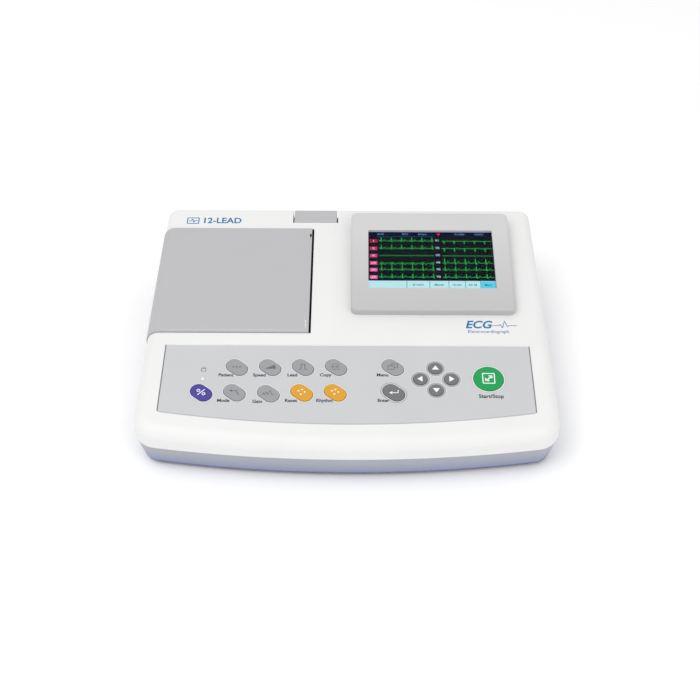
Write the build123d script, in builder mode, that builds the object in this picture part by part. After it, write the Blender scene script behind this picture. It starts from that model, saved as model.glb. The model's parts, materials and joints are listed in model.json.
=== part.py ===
from build123d import *
import os
from math import atan2, cos, pi, radians, sin, sqrt, tan

# Electrocardiograph for a table or trolley: a wedge-shaped two-part case with a thermal recorder
# under a hinged door on the left, a raised colour display on the right and a keypad in front.
# +X is the user's right, +Y points to the back, +Z up; the origin is on the table, under the middle.

# ---------------------------------------------------------------- case
body_width = 332.0  # across the front corners, before rounding
body_depth = 251.0
front_bow = 13.8  # how far the middle of the front stands before its corners
side_taper = 4.3  # how far each side comes in towards the back
deck_slope = 7.5  # degrees that the top face rises towards the back
front_height = 43.0  # height of the top face's plane at the front edge
parting_height = 26.0  # where the upper and lower housing meet
foot_height = 3.0
hull_inset = 5.0  # how far the underside is narrower than the parting line
wall = 2.5
front_corner_radius = 20.0
top_edge_radius = 10.5
back_edge_radius = 3.5
hull_edge_radius = 3.0
tongue_height = 1.5  # of the lower housing's rim inside the upper housing
tongue_wall = 1.2

# ---------------------------------------------------------------- clearances
seat_gap = 0.15  # between pieces that sit in one another and don't move
move_gap = 0.5  # around lids, tabs and latches that move
key_gap = 0.35  # around each key in its hole
running_gap = 0.05  # between a shaft or screw and its hole, on the radius

# ---------------------------------------------------------------- paper door and recorder
slot_from_left = 136.0  # from the left front corner to the case side of the paper slot
slot_width = 1.8
door_start = 109.6  # distances along the top face, from the front edge
door_length = 117.7
door_proud = 1.0  # the door stands this much over the case
door_wall = 2.5
hinge_height = 36.0
hinge_radius = 3.0
hinge_pin_radius = 1.0
hinge_cover = 0.2  # the door's side stands this much outside the barrel
hinge_lug = 7.0  # length of the case's lug at each end of the door
sill_gap = 1.0  # between the hinge barrel and the case below it
paper_width = 110.0
roll_radius = 23.0
platen_radius = 7.0
platen_depth = 11.5  # platen axis below the top face
platen_shaft_radius = 2.0
paper_gap = 0.3  # between platen and print head
bush_radius = 3.4
ear_wall = 1.8
gear_width = 2.2
gear_module = 0.8
platen_teeth = 18
idler_teeth = 20
pinion_teeth = 12
gear_backlash = 0.12
gear_spread = 0.1  # added to each pair's centre distance
axle_radius = 1.5
motor_radius = 9.5
motor_length = 16.0
motor_shaft_radius = 1.0
chassis_wall = 2.0
head_thickness = 4.5
head_height = 16.0
head_overhang = 2.0  # the platen is longer than the head by this, at each end

# ---------------------------------------------------------------- release tab and latch
tab_width = 37.6
tab_from_slot = -18.0  # left end of the tab, from the case side of the slot
tab_length = 17.5  # along the top face, to the back edge
tab_skirt = 7.0  # how far the tab reaches down the back
tab_end_gap = 1.1
tab_wall = 2.0
tab_leg_radius = 1.5
latch_travel = 2.0  # of the tab, and of the latch that it pushes
latch_bar_width = 4.0
latch_bar_height = 5.0
latch_chamfer = 3.0
wedge_gap = 0.25
hook_height = 2.0

# ---------------------------------------------------------------- display
pod_width = 136.2
pod_from_right = 27.3  # from the right front corner
pod_front_y_from_front = 126.7
pod_length = 108.4
pod_slope = 10.0
pod_lip = 7.0  # height of the pod's front edge over the top face
pod_corner_radius = 5.0
pod_edge_radius = 2.2
window_width = 106.8
window_height = 64.4
window_centre = 55.2  # from the pod's front edge
window_pane = 1.2
lcd_thickness = 5.5
lcd_margin = 5.0

# ---------------------------------------------------------------- keypad
keypad_margin = 19.0  # from the case's sides
keypad_back = 96.6  # distances along the top face, from the front edge
keypad_corner = 30.2
keypad_front = 19.0
keypad_radius = 3.5
overlay_thickness = 0.6
key_length = 18.6
key_width = 12.5
key_turn = -38.0
arrow_radius = 5.4
start_radius = 11.75
key_height = 0.9  # over the overlay
key_travel = 0.7
key_flange = 1.2
flange_height = 1.0
stem_length = 3.0
dome_radius = 3.0
dome_height = 0.8
pcb = 1.6
led_radius = 1.3

# Keys: name, x and distance along the top face of the centre
oblong_keys = {
    "key_power": (-114.0, 48.4),
    "key_patient": (-87.7, 73.5),
    "key_speed": (-61.2, 73.6),
    "key_lead": (-35.1, 73.8),
    "key_copy": (-8.8, 74.0),
    "key_mode": (-88.0, 48.6),
    "key_gain": (-61.4, 47.8),
    "key_reset": (-35.3, 48.8),
    "key_rhythm": (-9.1, 49.0),
    "key_menu": (36.3, 74.2),
    "key_enter": (36.7, 49.3),
}
arrow_cross = (70.1, 62.5)
arrow_reach_x = 12.2
arrow_reach_y = 10.8
arrow_keys = {
    "key_up": (arrow_cross[0], arrow_cross[1] + arrow_reach_y),
    "key_down": (arrow_cross[0], arrow_cross[1] - arrow_reach_y),
    "key_left": (arrow_cross[0] - arrow_reach_x, arrow_cross[1]),
    "key_right": (arrow_cross[0] + arrow_reach_x, arrow_cross[1]),
}
start_key = {"key_start_stop": (111.7, 63.2)}
led_place = (-113.9, 61.8)

# ---------------------------------------------------------------- electronics and connectors
board_height = 26.0
board_size = (128.0, 100.0)
supply_height = 9.0
supply_size = (96.0, 70.0)
post_radius = 3.5
display_post_radius = 2.6
boss_radius = 4.5
screw_radius = 1.5
screw_head_radius = 2.8
screw_head_height = 2.0
flat_head_radius = 2.2
flat_head_height = 1.0
inlet_width = 27.0  # body of the mains inlet
inlet_height = 20.0
inlet_depth = 22.0
inlet_cavity = (24.0, 17.0, 16.0)  # width, height and depth
inlet_z = 46.0
terminal_radius = 3.0
terminal_pocket = 16.0
terminal_depth = 10.0
socket_length = 21.0
network_width = 16.0
network_height = 13.5
usb_width = 13.1
usb_height = 5.8
ecg_shell = (25.0, 9.0)
ecg_pitch = 33.3
ecg_stud = 2.4
battery_size = (70.0, 64.0, 19.0)
battery_clearance = 1.0
cover_rim = 5.0  # how far the battery cover reaches over the edge of its bay
cover_thickness = 2.0
case_counterbore = 7.0
board_screw_length = 6.0
speaker_radius = 14.0
speaker_height = 5.0
foot_radius = 8.0
foot_recess = 1.2

# ---------------------------------------------------------------- values worked out from these
slope = radians(deck_slope)
front_y = -body_depth / 2
back_y = body_depth / 2
deck = Plane(
    origin=(0, front_y, front_height),
    x_dir=(1, 0, 0),
    z_dir=(0, -sin(slope), cos(slope)),
)
slot_right = -body_width / 2 + slot_from_left
door_right = slot_right - slot_width
door_front_y = front_y + door_start * cos(slope)
door_back_y = front_y + (door_start + door_length) * cos(slope)
floor_top = foot_height + wall
tall = 200.0  # longer than anything it cuts


def half_width(y):
    """Half the case's width at y, outside."""
    return body_width / 2 - side_taper * (y - front_y - front_bow) / (body_depth - front_bow)


def deck_height(y):
    """Height of the top face's plane at y."""
    return front_height + (y - front_y) * tan(slope)


def body_outline(inset, height):
    """Plan outline of the case at a height, moved in by inset: bowed front, tapered sides."""
    front_half = body_width / 2 - inset
    back_half = body_width / 2 - side_taper - inset
    front = front_y + inset
    back = back_y - inset
    with BuildSketch(Plane.XY.offset(height)) as outline:
        with BuildLine():
            corner_y = front + front_bow
            ThreePointArc((-front_half, corner_y), (0, front), (front_half, corner_y))
            Polyline(
                (front_half, corner_y),
                (back_half, back),
                (-back_half, back),
                (-front_half, corner_y),
            )
        make_face()
        fillet(outline.vertices().group_by(Axis.Y)[0], front_corner_radius - inset)
    return outline.sketch


def case_form(inset, bottom):
    """Solid inside the upper case's outer face, moved in by inset, from bottom up to the sloped top."""
    with BuildPart() as form:
        extrude(body_outline(inset, bottom), amount=tall)
        split(bisect_by=deck.offset(-inset), keep=Keep.BOTTOM)
        top = form.faces().filter_by(deck)[0]
        fillet(top.edges().sort_by(Axis.Y)[:-1], top_edge_radius - inset)
        back = form.faces().sort_by(Axis.Y)[-1]
        fillet(back.edges().sort_by(Axis.Z)[1:], back_edge_radius - inset)
    return form.part


def hull_form(inset, bottom, top):
    """Solid of the lower case's tapering hull, moved in by inset, between two heights."""
    hull = parting_height - foot_height
    with BuildPart() as form:
        loft(
            [
                body_outline(inset + hull_inset * (parting_height - bottom) / hull, bottom),
                body_outline(inset + hull_inset * (parting_height - top) / hull, top),
            ],
            ruled=True,
        )
        upright = form.edges().filter_by(lambda edge: edge.bounding_box().size.Z > 1)
        fillet(upright.sort_by(Axis.Y)[-2:], back_edge_radius - inset)
    return form.part


def deck_box(x_from, x_to, s_from, s_to, n_from, n_to):
    """Block square to the top face: x, distance s from the front edge and height n over it."""
    with BuildPart() as block:
        with BuildSketch(deck.offset(n_from)):
            with Locations(((x_from + x_to) / 2, (s_from + s_to) / 2)):
                Rectangle(x_to - x_from, s_to - s_from)
        extrude(amount=n_to - n_from)
    return block.part


def level_box(x_from, x_to, y_from, y_to, z_from, z_to):
    """Upright block between two corners."""
    with BuildPart() as block:
        with BuildSketch(Plane.XY.offset(z_from)):
            with Locations(((x_from + x_to) / 2, (y_from + y_to) / 2)):
                Rectangle(x_to - x_from, y_to - y_from)
        extrude(amount=z_to - z_from)
    return block.part


def section(s):
    """Plane across the recorder at distance s: local x is X, local y is the height over the deck."""
    return Plane(origin=deck.from_local_coords((0, s, 0)), x_dir=(1, 0, 0), z_dir=-deck.y_dir)


def rod(x, n, s_from, s_to, radius):
    """Round bar along the top face's slope, at x and height n over the deck."""
    with BuildPart() as bar:
        with BuildSketch(section(s_from)):
            with Locations((x, n)):
                Circle(radius)
        extrude(amount=s_from - s_to)
    return bar.part


def finish(piece, name):
    """Labels a finished piece and writes its file."""
    piece.part.label = name
    export_step(piece.part, f"parts/{name}.step")


os.makedirs("parts", exist_ok=True)

# ---------------------------------------------------------------- recorder layout
hinge_axis_inset = hinge_radius - door_proud + hinge_cover
hinge_turn = atan2(side_taper, body_depth - front_bow)
hinge_dir = Vector(sin(hinge_turn), cos(hinge_turn), 0)
hinge_start = Vector(-half_width(door_front_y) + hinge_axis_inset, door_front_y, hinge_height)
hinge_end = Vector(-half_width(door_back_y) + hinge_axis_inset, door_back_y, hinge_height)
hinge_plane = Plane(origin=hinge_start, x_dir=(cos(hinge_turn), -sin(hinge_turn), 0), z_dir=hinge_dir)
hinge_length = (hinge_end - hinge_start).length

platen_x = door_right - platen_radius
gear_start = door_start - 0.6
front_ear = gear_start + gear_width + 0.4
roller_start = front_ear + ear_wall + 0.5
back_ear_end = door_start + door_length - 2.7
back_ear = back_ear_end - ear_wall
roller_end = back_ear - 0.5
roller_mid = (roller_start + roller_end) / 2
head_x = platen_x + platen_radius + paper_gap
bay_start = roller_mid - paper_width / 2 - 1.0
bay_end = roller_mid + paper_width / 2 + 1.0
bay_left = -body_width / 2 + 18.0
pan_left = platen_x - 13.0
pan_right = head_x + head_thickness + 8.5
pan_floor = -platen_depth - platen_radius - 2.5
trough_x = (bay_left + pan_left) / 2
trough_radius = roll_radius + 1.0
trough_n = -2.0 - trough_radius
bay_floor = -14.0
platen_pitch = gear_module * platen_teeth / 2
idler_pitch = gear_module * idler_teeth / 2
pinion_pitch = gear_module * pinion_teeth / 2
idler_n = -platen_depth - platen_pitch - idler_pitch - gear_spread
pinion_n = idler_n - idler_pitch - pinion_pitch - gear_spread
gear_plate = gear_start - 1.6 - chassis_wall
gear_floor = pinion_n - pinion_pitch - gear_module - 3.5

# ---------------------------------------------------------------- display layout
pod_tilt = radians(pod_slope)
pod_x = body_width / 2 - pod_from_right - pod_width / 2
pod_front_y = front_y + pod_front_y_from_front
pod = Plane(
    origin=(pod_x, pod_front_y, deck_height(pod_front_y) + pod_lip / cos(slope)),
    x_dir=(1, 0, 0),
    z_dir=(0, -sin(pod_tilt), cos(pod_tilt)),
)
lcd_size = (window_width + 2 * lcd_margin, window_height + 2 * lcd_margin)

# ---------------------------------------------------------------- keypad layout
keypad_half = body_width / 2 - keypad_margin
all_keys = {**oblong_keys, **arrow_keys, **start_key}
flange_top = -wall - 0.1
key_bottom = flange_top - flange_height - stem_length
keyboard_top = key_bottom - key_travel - dome_height
key_board_front = keypad_front + 12.0
key_board_back = keypad_back - 4.0
key_board_half = keypad_half - 8.0

# ---------------------------------------------------------------- fastener and post places
front_screw_y = front_y + 27.0
back_screw_y = back_y - 12.0
side_screw_x = body_width / 2 - 17.0
middle_back_x = pod_x - pod_width / 2 + 6.0
case_screws = [
    (-side_screw_x, front_screw_y),
    (0, front_y + 11.5),
    (side_screw_x, front_screw_y),
    (-side_screw_x, back_screw_y),
    (middle_back_x, back_screw_y),
    (side_screw_x, back_screw_y),
]
foot_x = body_width / 2 - 38.0
foot_places = [
    (-foot_x, front_y + 36.0),
    (foot_x, front_y + 36.0),
    (-foot_x, back_y - 22.0),
    (foot_x, back_y - 22.0),
]
board_x = body_width / 2 - 14.0 - board_size[0] / 2
board_y = back_y - 17.0 - board_size[1] / 2
supply_x = board_x
supply_y = board_y - 4.0


def corners(x, y, size, margin):
    """The four points a margin inside the corners of a rectangle centred at x, y."""
    reach_x = size[0] / 2 - margin
    reach_y = size[1] / 2 - margin
    return [(x + i * reach_x, y + j * reach_y) for i in (-1, 1) for j in (-1, 1)]


board_posts = corners(board_x, board_y, board_size, 5.0)
supply_posts = corners(supply_x, supply_y, supply_size, 5.0)
shelf_x = bay_left + 8.0
chassis_screws = [
    (shelf_x, bay_start + 14.0, bay_floor),
    (shelf_x, bay_end - 14.0, bay_floor),
    (platen_x - 8.0, bay_start + 14.0, pan_floor),
    (platen_x - 8.0, bay_end - 14.0, pan_floor),
]
battery_x = body_width / 2 - 96.0
battery_y = front_y + 72.0
speaker_x = -body_width / 2 + 66.0
speaker_y = front_y + 50.0
inlet_x = body_width / 2 - 48.0
terminal_x = inlet_x - 36.0
network_x = board_x - 45.0
usb_x = network_x + 22.0
ecg_y = 55.0
ecg_z = 42.0

socket_z = board_height + pcb
battery_room = (battery_size[0] + 2 * battery_clearance, battery_size[1] + 2 * battery_clearance)
cover_size = (battery_room[0] + 2 * cover_rim, battery_room[1] + 2 * cover_rim)

# The tab slides square to the top face and its wedge drives the latch bar sideways.
deck_length = body_depth / cos(slope)
tab_start = deck_length - tab_length
tab_left = slot_right + tab_from_slot
tab_right = tab_left + tab_width
bar_left = pan_right + 1.0
bar_right = bar_left + latch_bar_width
bar_top = -9.0
bar_bottom = bar_top - latch_bar_height
hook_bottom = -platen_depth + 0.8
lug_top = hook_bottom - 0.3
ear_right = platen_x + 4.5
lug_right = ear_right + 2.0
tab_legs = [(tab_left + 6.0, tab_start + 7.5), (bar_left - 8.5, tab_start + 7.5)]
tab_leg_end = -13.5
guide_top = -10.5  # top of the brackets that guide the tab's legs
guide_wall = 2.0
rim_n = -3.2  # top of the recorder chassis, just under the case's skin
spring_post = bar_right + 7.0
head_start = roller_start + head_overhang
head_end = roller_end - head_overhang
head_bottom = pan_floor + 0.3
bracket_wall = 1.5
lcd_top = wall + window_pane + 0.1
lcd_bottom = lcd_top + lcd_thickness + 0.6
display_board_size = (pod_width - 2 * wall - 3.0, lcd_size[1] - 8.0)
display_posts = corners(0, window_centre, display_board_size, 3.0)
keyboard_posts = corners(
    0,
    (key_board_front + key_board_back) / 2,
    (2 * key_board_half, key_board_back - key_board_front),
    5.0,
)
cover_screw_places = [
    (battery_x + side * (battery_room[0] / 2 + cover_rim / 2), battery_y) for side in (-1, 1)
]

# ---------------------------------------------------------------- forms shared by several pieces
up_from_deck = Axis(deck.origin, deck.z_dir)
along_deck = Axis(deck.origin, deck.y_dir)
up_from_pod = Axis(pod.origin, pod.z_dir)
outer_form = case_form(0, parting_height)
inner_form = case_form(wall, parting_height)
door_sill = hinge_height - hinge_radius - sill_gap


def key_outline(name, height, grow=0.0):
    """Outline of a key, grown on every side, at a height over the top face."""
    with BuildSketch(deck.offset(height)) as outline:
        with Locations(all_keys[name]):
            if name in oblong_keys:
                SlotOverall(key_length + 2 * grow, key_width + 2 * grow, rotation=key_turn)
            elif name in arrow_keys:
                Circle(arrow_radius + grow)
            else:
                Circle(start_radius + grow)
    return outline.sketch


def overlay_outline(height, grow=0.0):
    """Outline of the keypad overlay, bowed in front like the case, grown on every side."""
    half = keypad_half + grow
    back = keypad_back + grow
    corner = keypad_corner - grow
    with BuildSketch(deck.offset(height)) as outline:
        with BuildLine():
            ThreePointArc((-half, corner), (0, keypad_front - grow), (half, corner))
            Polyline((half, corner), (half, back), (-half, back), (-half, corner))
        make_face()
        fillet(outline.vertices().sort_by(Axis.Y)[:2], keypad_radius + grow)
    return outline.sketch


def pod_outline(depth, inset=0.0):
    """Rounded rectangle of the display pod, at a depth under its face, moved in by inset."""
    with BuildSketch(pod.offset(-depth)) as outline:
        with Locations((0, pod_length / 2)):
            RectangleRounded(
                pod_width - 2 * inset,
                pod_length - 2 * inset,
                max(pod_corner_radius - inset, 1.0),
            )
    return outline.sketch


def window_block(width, height, depth_from, depth_to):
    """Block centred on the display window, between two depths under the pod's face."""
    with BuildPart() as block:
        with BuildSketch(pod.offset(-depth_to)):
            with Locations((0, window_centre)):
                Rectangle(width, height)
        extrude(amount=depth_to - depth_from)
    return block.part


def screw(head_radius, head_height, length):
    """Pan-head screw with a cross recess, head seat at its origin, shank pointing down."""
    with BuildPart() as piece:
        with BuildSketch():
            Circle(head_radius)
        extrude(amount=head_height)
        fillet(piece.faces().sort_by(Axis.Z)[-1].edges(), head_height * 0.4)
        with BuildSketch(Plane.XY.offset(head_height)):
            Rectangle(head_radius, 0.7)
            Rectangle(0.7, head_radius)
        extrude(amount=-head_height / 2, mode=Mode.SUBTRACT)
        with BuildSketch():
            Circle(screw_radius)
        extrude(amount=-length)
    return piece.part


# ================================================================ upper case
with BuildPart() as case_bosses:
    with BuildSketch(Plane.XY.offset(parting_height)):
        with Locations(*case_screws):
            Circle(boss_radius)
    extrude(amount=tall)
    add(inner_form, mode=Mode.INTERSECT)

with BuildPart() as hinge_lugs:
    lug_planes = [
        hinge_plane.offset(-move_gap - hinge_lug),
        hinge_plane.offset(hinge_length + move_gap),
    ]
    for lug_plane in lug_planes:
        with BuildSketch(lug_plane):
            Circle(hinge_radius + 1.5)
        extrude(amount=hinge_lug)
    add(outer_form, mode=Mode.INTERSECT)

with BuildPart() as upper_housing:
    add(outer_form)
    add(inner_form, mode=Mode.SUBTRACT)
    add(case_bosses.part)
    add(hinge_lugs.part)
    # posts that carry the keypad board
    with BuildSketch(deck.offset(-wall)):
        with Locations(*keyboard_posts):
            Circle(post_radius)
    extrude(amount=keyboard_top + wall)
    # brackets that guide the release tab's legs
    for leg_x, leg_s in tab_legs:
        bracket_end = deck_length - wall
        add(deck_box(leg_x - 4.0, leg_x + 4.0, leg_s - 4.0, bracket_end, guide_top - guide_wall, guide_top))
    # pocket of the earth terminal
    with BuildSketch(Plane.XZ.offset(wall / 2 - back_y)):
        with Locations((terminal_x, inlet_z)):
            Rectangle(terminal_pocket + 2 * wall, terminal_pocket + 2 * wall)
    extrude(amount=terminal_depth + wall / 2)
    # paper door opening, over the left edge
    add(
        level_box(-tall, slot_right, door_front_y - move_gap, door_back_y + move_gap, door_sill, tall),
        mode=Mode.SUBTRACT,
    )
    with BuildSketch(hinge_plane.offset(-move_gap - hinge_lug - wall)):
        Circle(hinge_pin_radius + running_gap)
    extrude(amount=hinge_length + 2 * (move_gap + hinge_lug) + wall, mode=Mode.SUBTRACT)
    # release tab notch and the holes for its legs
    add(
        deck_box(
            tab_left - tab_end_gap,
            tab_right + tab_end_gap,
            tab_start - move_gap / 2,
            tall * 2,
            -tab_skirt - latch_travel - move_gap,
            tall / 4,
        ),
        mode=Mode.SUBTRACT,
    )
    with BuildSketch(deck.offset(guide_top + 1)):
        with Locations(*tab_legs):
            Circle(tab_leg_radius + running_gap)
    extrude(amount=-guide_wall - 2, mode=Mode.SUBTRACT)
    # display opening under the pod
    extrude(pod_outline(0, wall + 0.2), amount=-25.0, mode=Mode.SUBTRACT)
    # keypad recess, key holes and the light pipe's hole
    extrude(overlay_outline(-overlay_thickness, seat_gap), amount=wall, mode=Mode.SUBTRACT)
    for name in all_keys:
        extrude(key_outline(name, -wall - 0.5, key_gap), amount=wall + 1, mode=Mode.SUBTRACT)
    with BuildSketch(deck.offset(-wall - 0.5)):
        with Locations(led_place):
            Circle(led_radius + seat_gap)
    extrude(amount=wall + 1, mode=Mode.SUBTRACT)
    # sockets in the back and the right side
    for x, z, width, height, depth in (
        (inlet_x, inlet_z, inlet_width, inlet_height, wall + 1),
        (terminal_x, inlet_z, terminal_pocket, terminal_pocket, terminal_depth),
        (network_x, socket_z + network_height / 2, network_width, network_height, wall + 1),
        (usb_x, socket_z + usb_height / 2, usb_width, usb_height, wall + 1),
    ):
        with BuildSketch(Plane.XZ.offset(-back_y - 1)):
            with Locations((x, z)):
                Rectangle(width + 2 * seat_gap, height + 2 * seat_gap)
        extrude(amount=depth + 1, mode=Mode.SUBTRACT)
    with BuildSketch(Plane.YZ.offset(half_width(ecg_y) - wall - 2)):
        with Locations((ecg_y, ecg_z)):
            RectangleRounded(ecg_shell[0] + 2 * seat_gap, ecg_shell[1] + 2 * seat_gap, 3.0)
            with Locations((-ecg_pitch / 2, 0), (ecg_pitch / 2, 0)):
                Circle(ecg_stud + seat_gap)
    extrude(amount=tall / 10, mode=Mode.SUBTRACT)
    # cooling slots in the back
    with BuildSketch(Plane.XZ.offset(-back_y - 1)):
        with Locations((-body_width / 2 + 62.0, 48.0)):
            with GridLocations(6.0, 1.0, 11, 1):
                SlotOverall(22.0, 2.4, rotation=90)
    extrude(amount=wall + 2, mode=Mode.SUBTRACT)
    # pilot holes for the case, keypad board and terminal screws
    with BuildSketch(Plane.XY.offset(parting_height)):
        with Locations(*case_screws):
            Circle(screw_radius + running_gap)
    extrude(amount=10.0, mode=Mode.SUBTRACT)
    with BuildSketch(deck.offset(keyboard_top)):
        with Locations(*keyboard_posts):
            Circle(screw_radius + running_gap)
    extrude(amount=4.5, mode=Mode.SUBTRACT)
    with BuildSketch(Plane.XZ.offset(-back_y - 1)):
        with Locations((terminal_x, inlet_z)):
            Circle(terminal_radius + running_gap)
    extrude(amount=tall / 10, mode=Mode.SUBTRACT)

# ================================================================ lower case
def post_group(places, top_n):
    """Upright posts from the floor to a plane parallel to the top face, at height top_n over it."""
    with BuildPart() as posts:
        with BuildSketch(Plane.XY.offset(floor_top - wall / 2)):
            for x, s, n in places:
                foot = deck.from_local_coords((x, s, top_n))
                with Locations((foot.X, foot.Y)):
                    Circle(post_radius)
        extrude(amount=tall)
        split(bisect_by=deck.offset(top_n), keep=Keep.BOTTOM)
    return posts.part


shelf_posts = post_group(chassis_screws[:2], bay_floor - chassis_wall)
pan_posts = post_group(chassis_screws[2:], pan_floor - chassis_wall)
battery_wall_top = floor_top + battery_size[2] - 3.0

with BuildPart() as rim:
    rim_inset = wall + seat_gap
    rim_bottom = parting_height - 2 * tongue_height
    extrude(body_outline(rim_inset, rim_bottom), amount=3 * tongue_height)
    fillet(rim.edges().filter_by(Axis.Z).group_by(Axis.Y)[-1], back_edge_radius - wall)
    extrude(
        body_outline(rim_inset + tongue_wall, rim_bottom - 1),
        amount=3 * tongue_height + 2,
        mode=Mode.SUBTRACT,
    )

with BuildPart() as lower_housing:
    add(hull_form(0, foot_height, parting_height))
    fillet(lower_housing.faces().sort_by(Axis.Z)[0].edges(), hull_edge_radius)
    add(hull_form(wall, floor_top, parting_height), mode=Mode.SUBTRACT)
    # rim that locates the upper case
    add(rim.part)
    with BuildSketch(Plane.XY.offset(parting_height)):
        with Locations(*case_screws):
            Circle(boss_radius + seat_gap)
    extrude(amount=tongue_height + 1, mode=Mode.SUBTRACT)
    # bosses and posts
    with BuildSketch(Plane.XY.offset(floor_top - wall / 2)):
        with Locations(*case_screws):
            Circle(boss_radius)
    extrude(amount=parting_height - floor_top + wall / 2)
    with BuildSketch(Plane.XY.offset(floor_top - wall / 2)):
        with Locations(*board_posts):
            Circle(post_radius)
    extrude(amount=board_height - floor_top + wall / 2)
    with BuildSketch(Plane.XY.offset(floor_top - wall / 2)):
        with Locations(*supply_posts):
            Circle(post_radius)
    extrude(amount=supply_height - floor_top + wall / 2)
    add(shelf_posts)
    add(pan_posts)
    # battery bay: walls and collar, then the opening and the recess of its cover
    with BuildSketch(Plane.XY.offset(floor_top - wall / 2)):
        with Locations((battery_x, battery_y)):
            Rectangle(battery_room[0] + 3.0, battery_room[1] + 3.0)
    extrude(amount=battery_wall_top - floor_top + wall / 2)
    with BuildSketch(Plane.XY.offset(floor_top - wall / 2)):
        with Locations((battery_x, battery_y)):
            Rectangle(cover_size[0] + 3.0, cover_size[1] + 3.0)
    extrude(amount=wall + wall / 2)
    with BuildSketch(Plane.XY.offset(foot_height - 1)):
        with Locations((battery_x, battery_y)):
            Rectangle(*battery_room)
    extrude(amount=battery_wall_top, mode=Mode.SUBTRACT)
    with BuildSketch(Plane.XY.offset(foot_height - 1)):
        with Locations((battery_x, battery_y)):
            RectangleRounded(cover_size[0] + 2 * seat_gap, cover_size[1] + 2 * seat_gap, 3.0)
    extrude(amount=1 + cover_thickness + seat_gap, mode=Mode.SUBTRACT)
    with BuildSketch(Plane.XY.offset(foot_height)):
        with Locations(*cover_screw_places):
            Circle(screw_radius + running_gap)
    extrude(amount=wall * 2 - 0.5, mode=Mode.SUBTRACT)
    # loudspeaker ring and its grille
    with BuildSketch(Plane.XY.offset(floor_top - wall / 2)):
        with Locations((speaker_x, speaker_y)):
            Circle(speaker_radius + seat_gap + 1.5)
            Circle(speaker_radius + seat_gap, mode=Mode.SUBTRACT)
    extrude(amount=4.0 + wall / 2)
    with BuildSketch(Plane.XY.offset(foot_height - 1)):
        with Locations((speaker_x, speaker_y)):
            Circle(1.2)
            with PolarLocations(4.5, 6):
                Circle(1.2)
            with PolarLocations(9.0, 12):
                Circle(1.2)
    extrude(amount=wall + 2, mode=Mode.SUBTRACT)
    # cooling slots under the power supply
    with BuildSketch(Plane.XY.offset(foot_height - 1)):
        with Locations((supply_x, supply_y)):
            with GridLocations(34.0, 7.0, 2, 5):
                SlotOverall(26.0, 2.6)
    extrude(amount=wall + 2, mode=Mode.SUBTRACT)
    # recesses of the rubber feet
    with BuildSketch(Plane.XY.offset(foot_height)):
        with Locations(*foot_places):
            Circle(foot_radius + seat_gap)
    extrude(amount=foot_recess, mode=Mode.SUBTRACT)
    # screw holes: counterbored from below for the case, blind from above for boards
    with BuildSketch(Plane.XY.offset(foot_height - 1)):
        with Locations(*case_screws):
            Circle(screw_radius + 0.2)
    extrude(amount=parting_height, mode=Mode.SUBTRACT)
    with BuildSketch(Plane.XY.offset(foot_height - 1)):
        with Locations(*case_screws):
            Circle(screw_head_radius + 0.4)
    extrude(amount=1 + case_counterbore, mode=Mode.SUBTRACT)
    for places, height in ((board_posts, board_height), (supply_posts, supply_height)):
        with BuildSketch(Plane.XY.offset(height)):
            with Locations(*places):
                Circle(screw_radius + running_gap)
        extrude(amount=-board_screw_length, mode=Mode.SUBTRACT)
    for x, s, n in chassis_screws:
        with BuildSketch(deck.offset(n)):
            with Locations((x, s)):
                Circle(screw_radius + running_gap)
        extrude(amount=-chassis_wall - board_screw_length, mode=Mode.SUBTRACT)

with BuildPart() as battery_cover:
    with BuildSketch(Plane.XY.offset(foot_height)):
        with Locations((battery_x, battery_y)):
            RectangleRounded(*cover_size, 3.0)
    extrude(amount=cover_thickness)
    with BuildSketch(Plane.XY.offset(foot_height)):
        with Locations(*cover_screw_places):
            Circle(screw_radius + 0.2)
    extrude(amount=cover_thickness, mode=Mode.SUBTRACT)
    with BuildSketch(Plane.XY.offset(foot_height)):
        with Locations(*cover_screw_places):
            Circle(flat_head_radius + seat_gap)
    extrude(amount=flat_head_height, mode=Mode.SUBTRACT)
    # finger grip
    with BuildSketch(Plane.XY.offset(foot_height)):
        with Locations((battery_x, battery_y + battery_size[1] / 2 - 8.0)):
            with GridLocations(1.0, 3.0, 1, 4):
                SlotOverall(20.0, 1.4)
    extrude(amount=0.6, mode=Mode.SUBTRACT)

with BuildPart() as battery_pack:
    with BuildSketch(Plane.XY.offset(foot_height + cover_thickness + seat_gap)):
        with Locations((battery_x, battery_y)):
            Rectangle(battery_size[0], battery_size[1])
    extrude(amount=battery_size[2])
    fillet(battery_pack.edges().filter_by(Axis.Z), 4.0)
    fillet(battery_pack.faces().sort_by(Axis.Z)[-1].edges(), 2.0)

with BuildPart() as rubber_feet:
    with BuildSketch():
        with Locations(*foot_places):
            Circle(foot_radius)
    extrude(amount=foot_height + foot_recess)
    fillet(rubber_feet.faces().sort_by(Axis.Z)[:4].edges(), 1.0)

with BuildPart() as speaker:
    with BuildSketch(Plane.XY.offset(floor_top)):
        with Locations((speaker_x, speaker_y)):
            Circle(speaker_radius)
    extrude(amount=1.5)
    with BuildSketch(Plane.XY.offset(floor_top + 1.5)):
        with Locations((speaker_x, speaker_y)):
            Circle(speaker_radius - 3.0)
    extrude(amount=2.0)
    with BuildSketch(Plane.XY.offset(floor_top + 3.5)):
        with Locations((speaker_x, speaker_y)):
            Circle(speaker_radius - 6.0)
    extrude(amount=speaker_height - 3.5)

# ================================================================ keypad
with BuildPart() as keypad_overlay:
    extrude(overlay_outline(-overlay_thickness), amount=overlay_thickness)
    for name in all_keys:
        extrude(key_outline(name, -1.0, key_gap), amount=2.0, mode=Mode.SUBTRACT)
    with BuildSketch(deck.offset(-1)):
        with Locations(led_place):
            Circle(led_radius + seat_gap)
    extrude(amount=2.0, mode=Mode.SUBTRACT)

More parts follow.
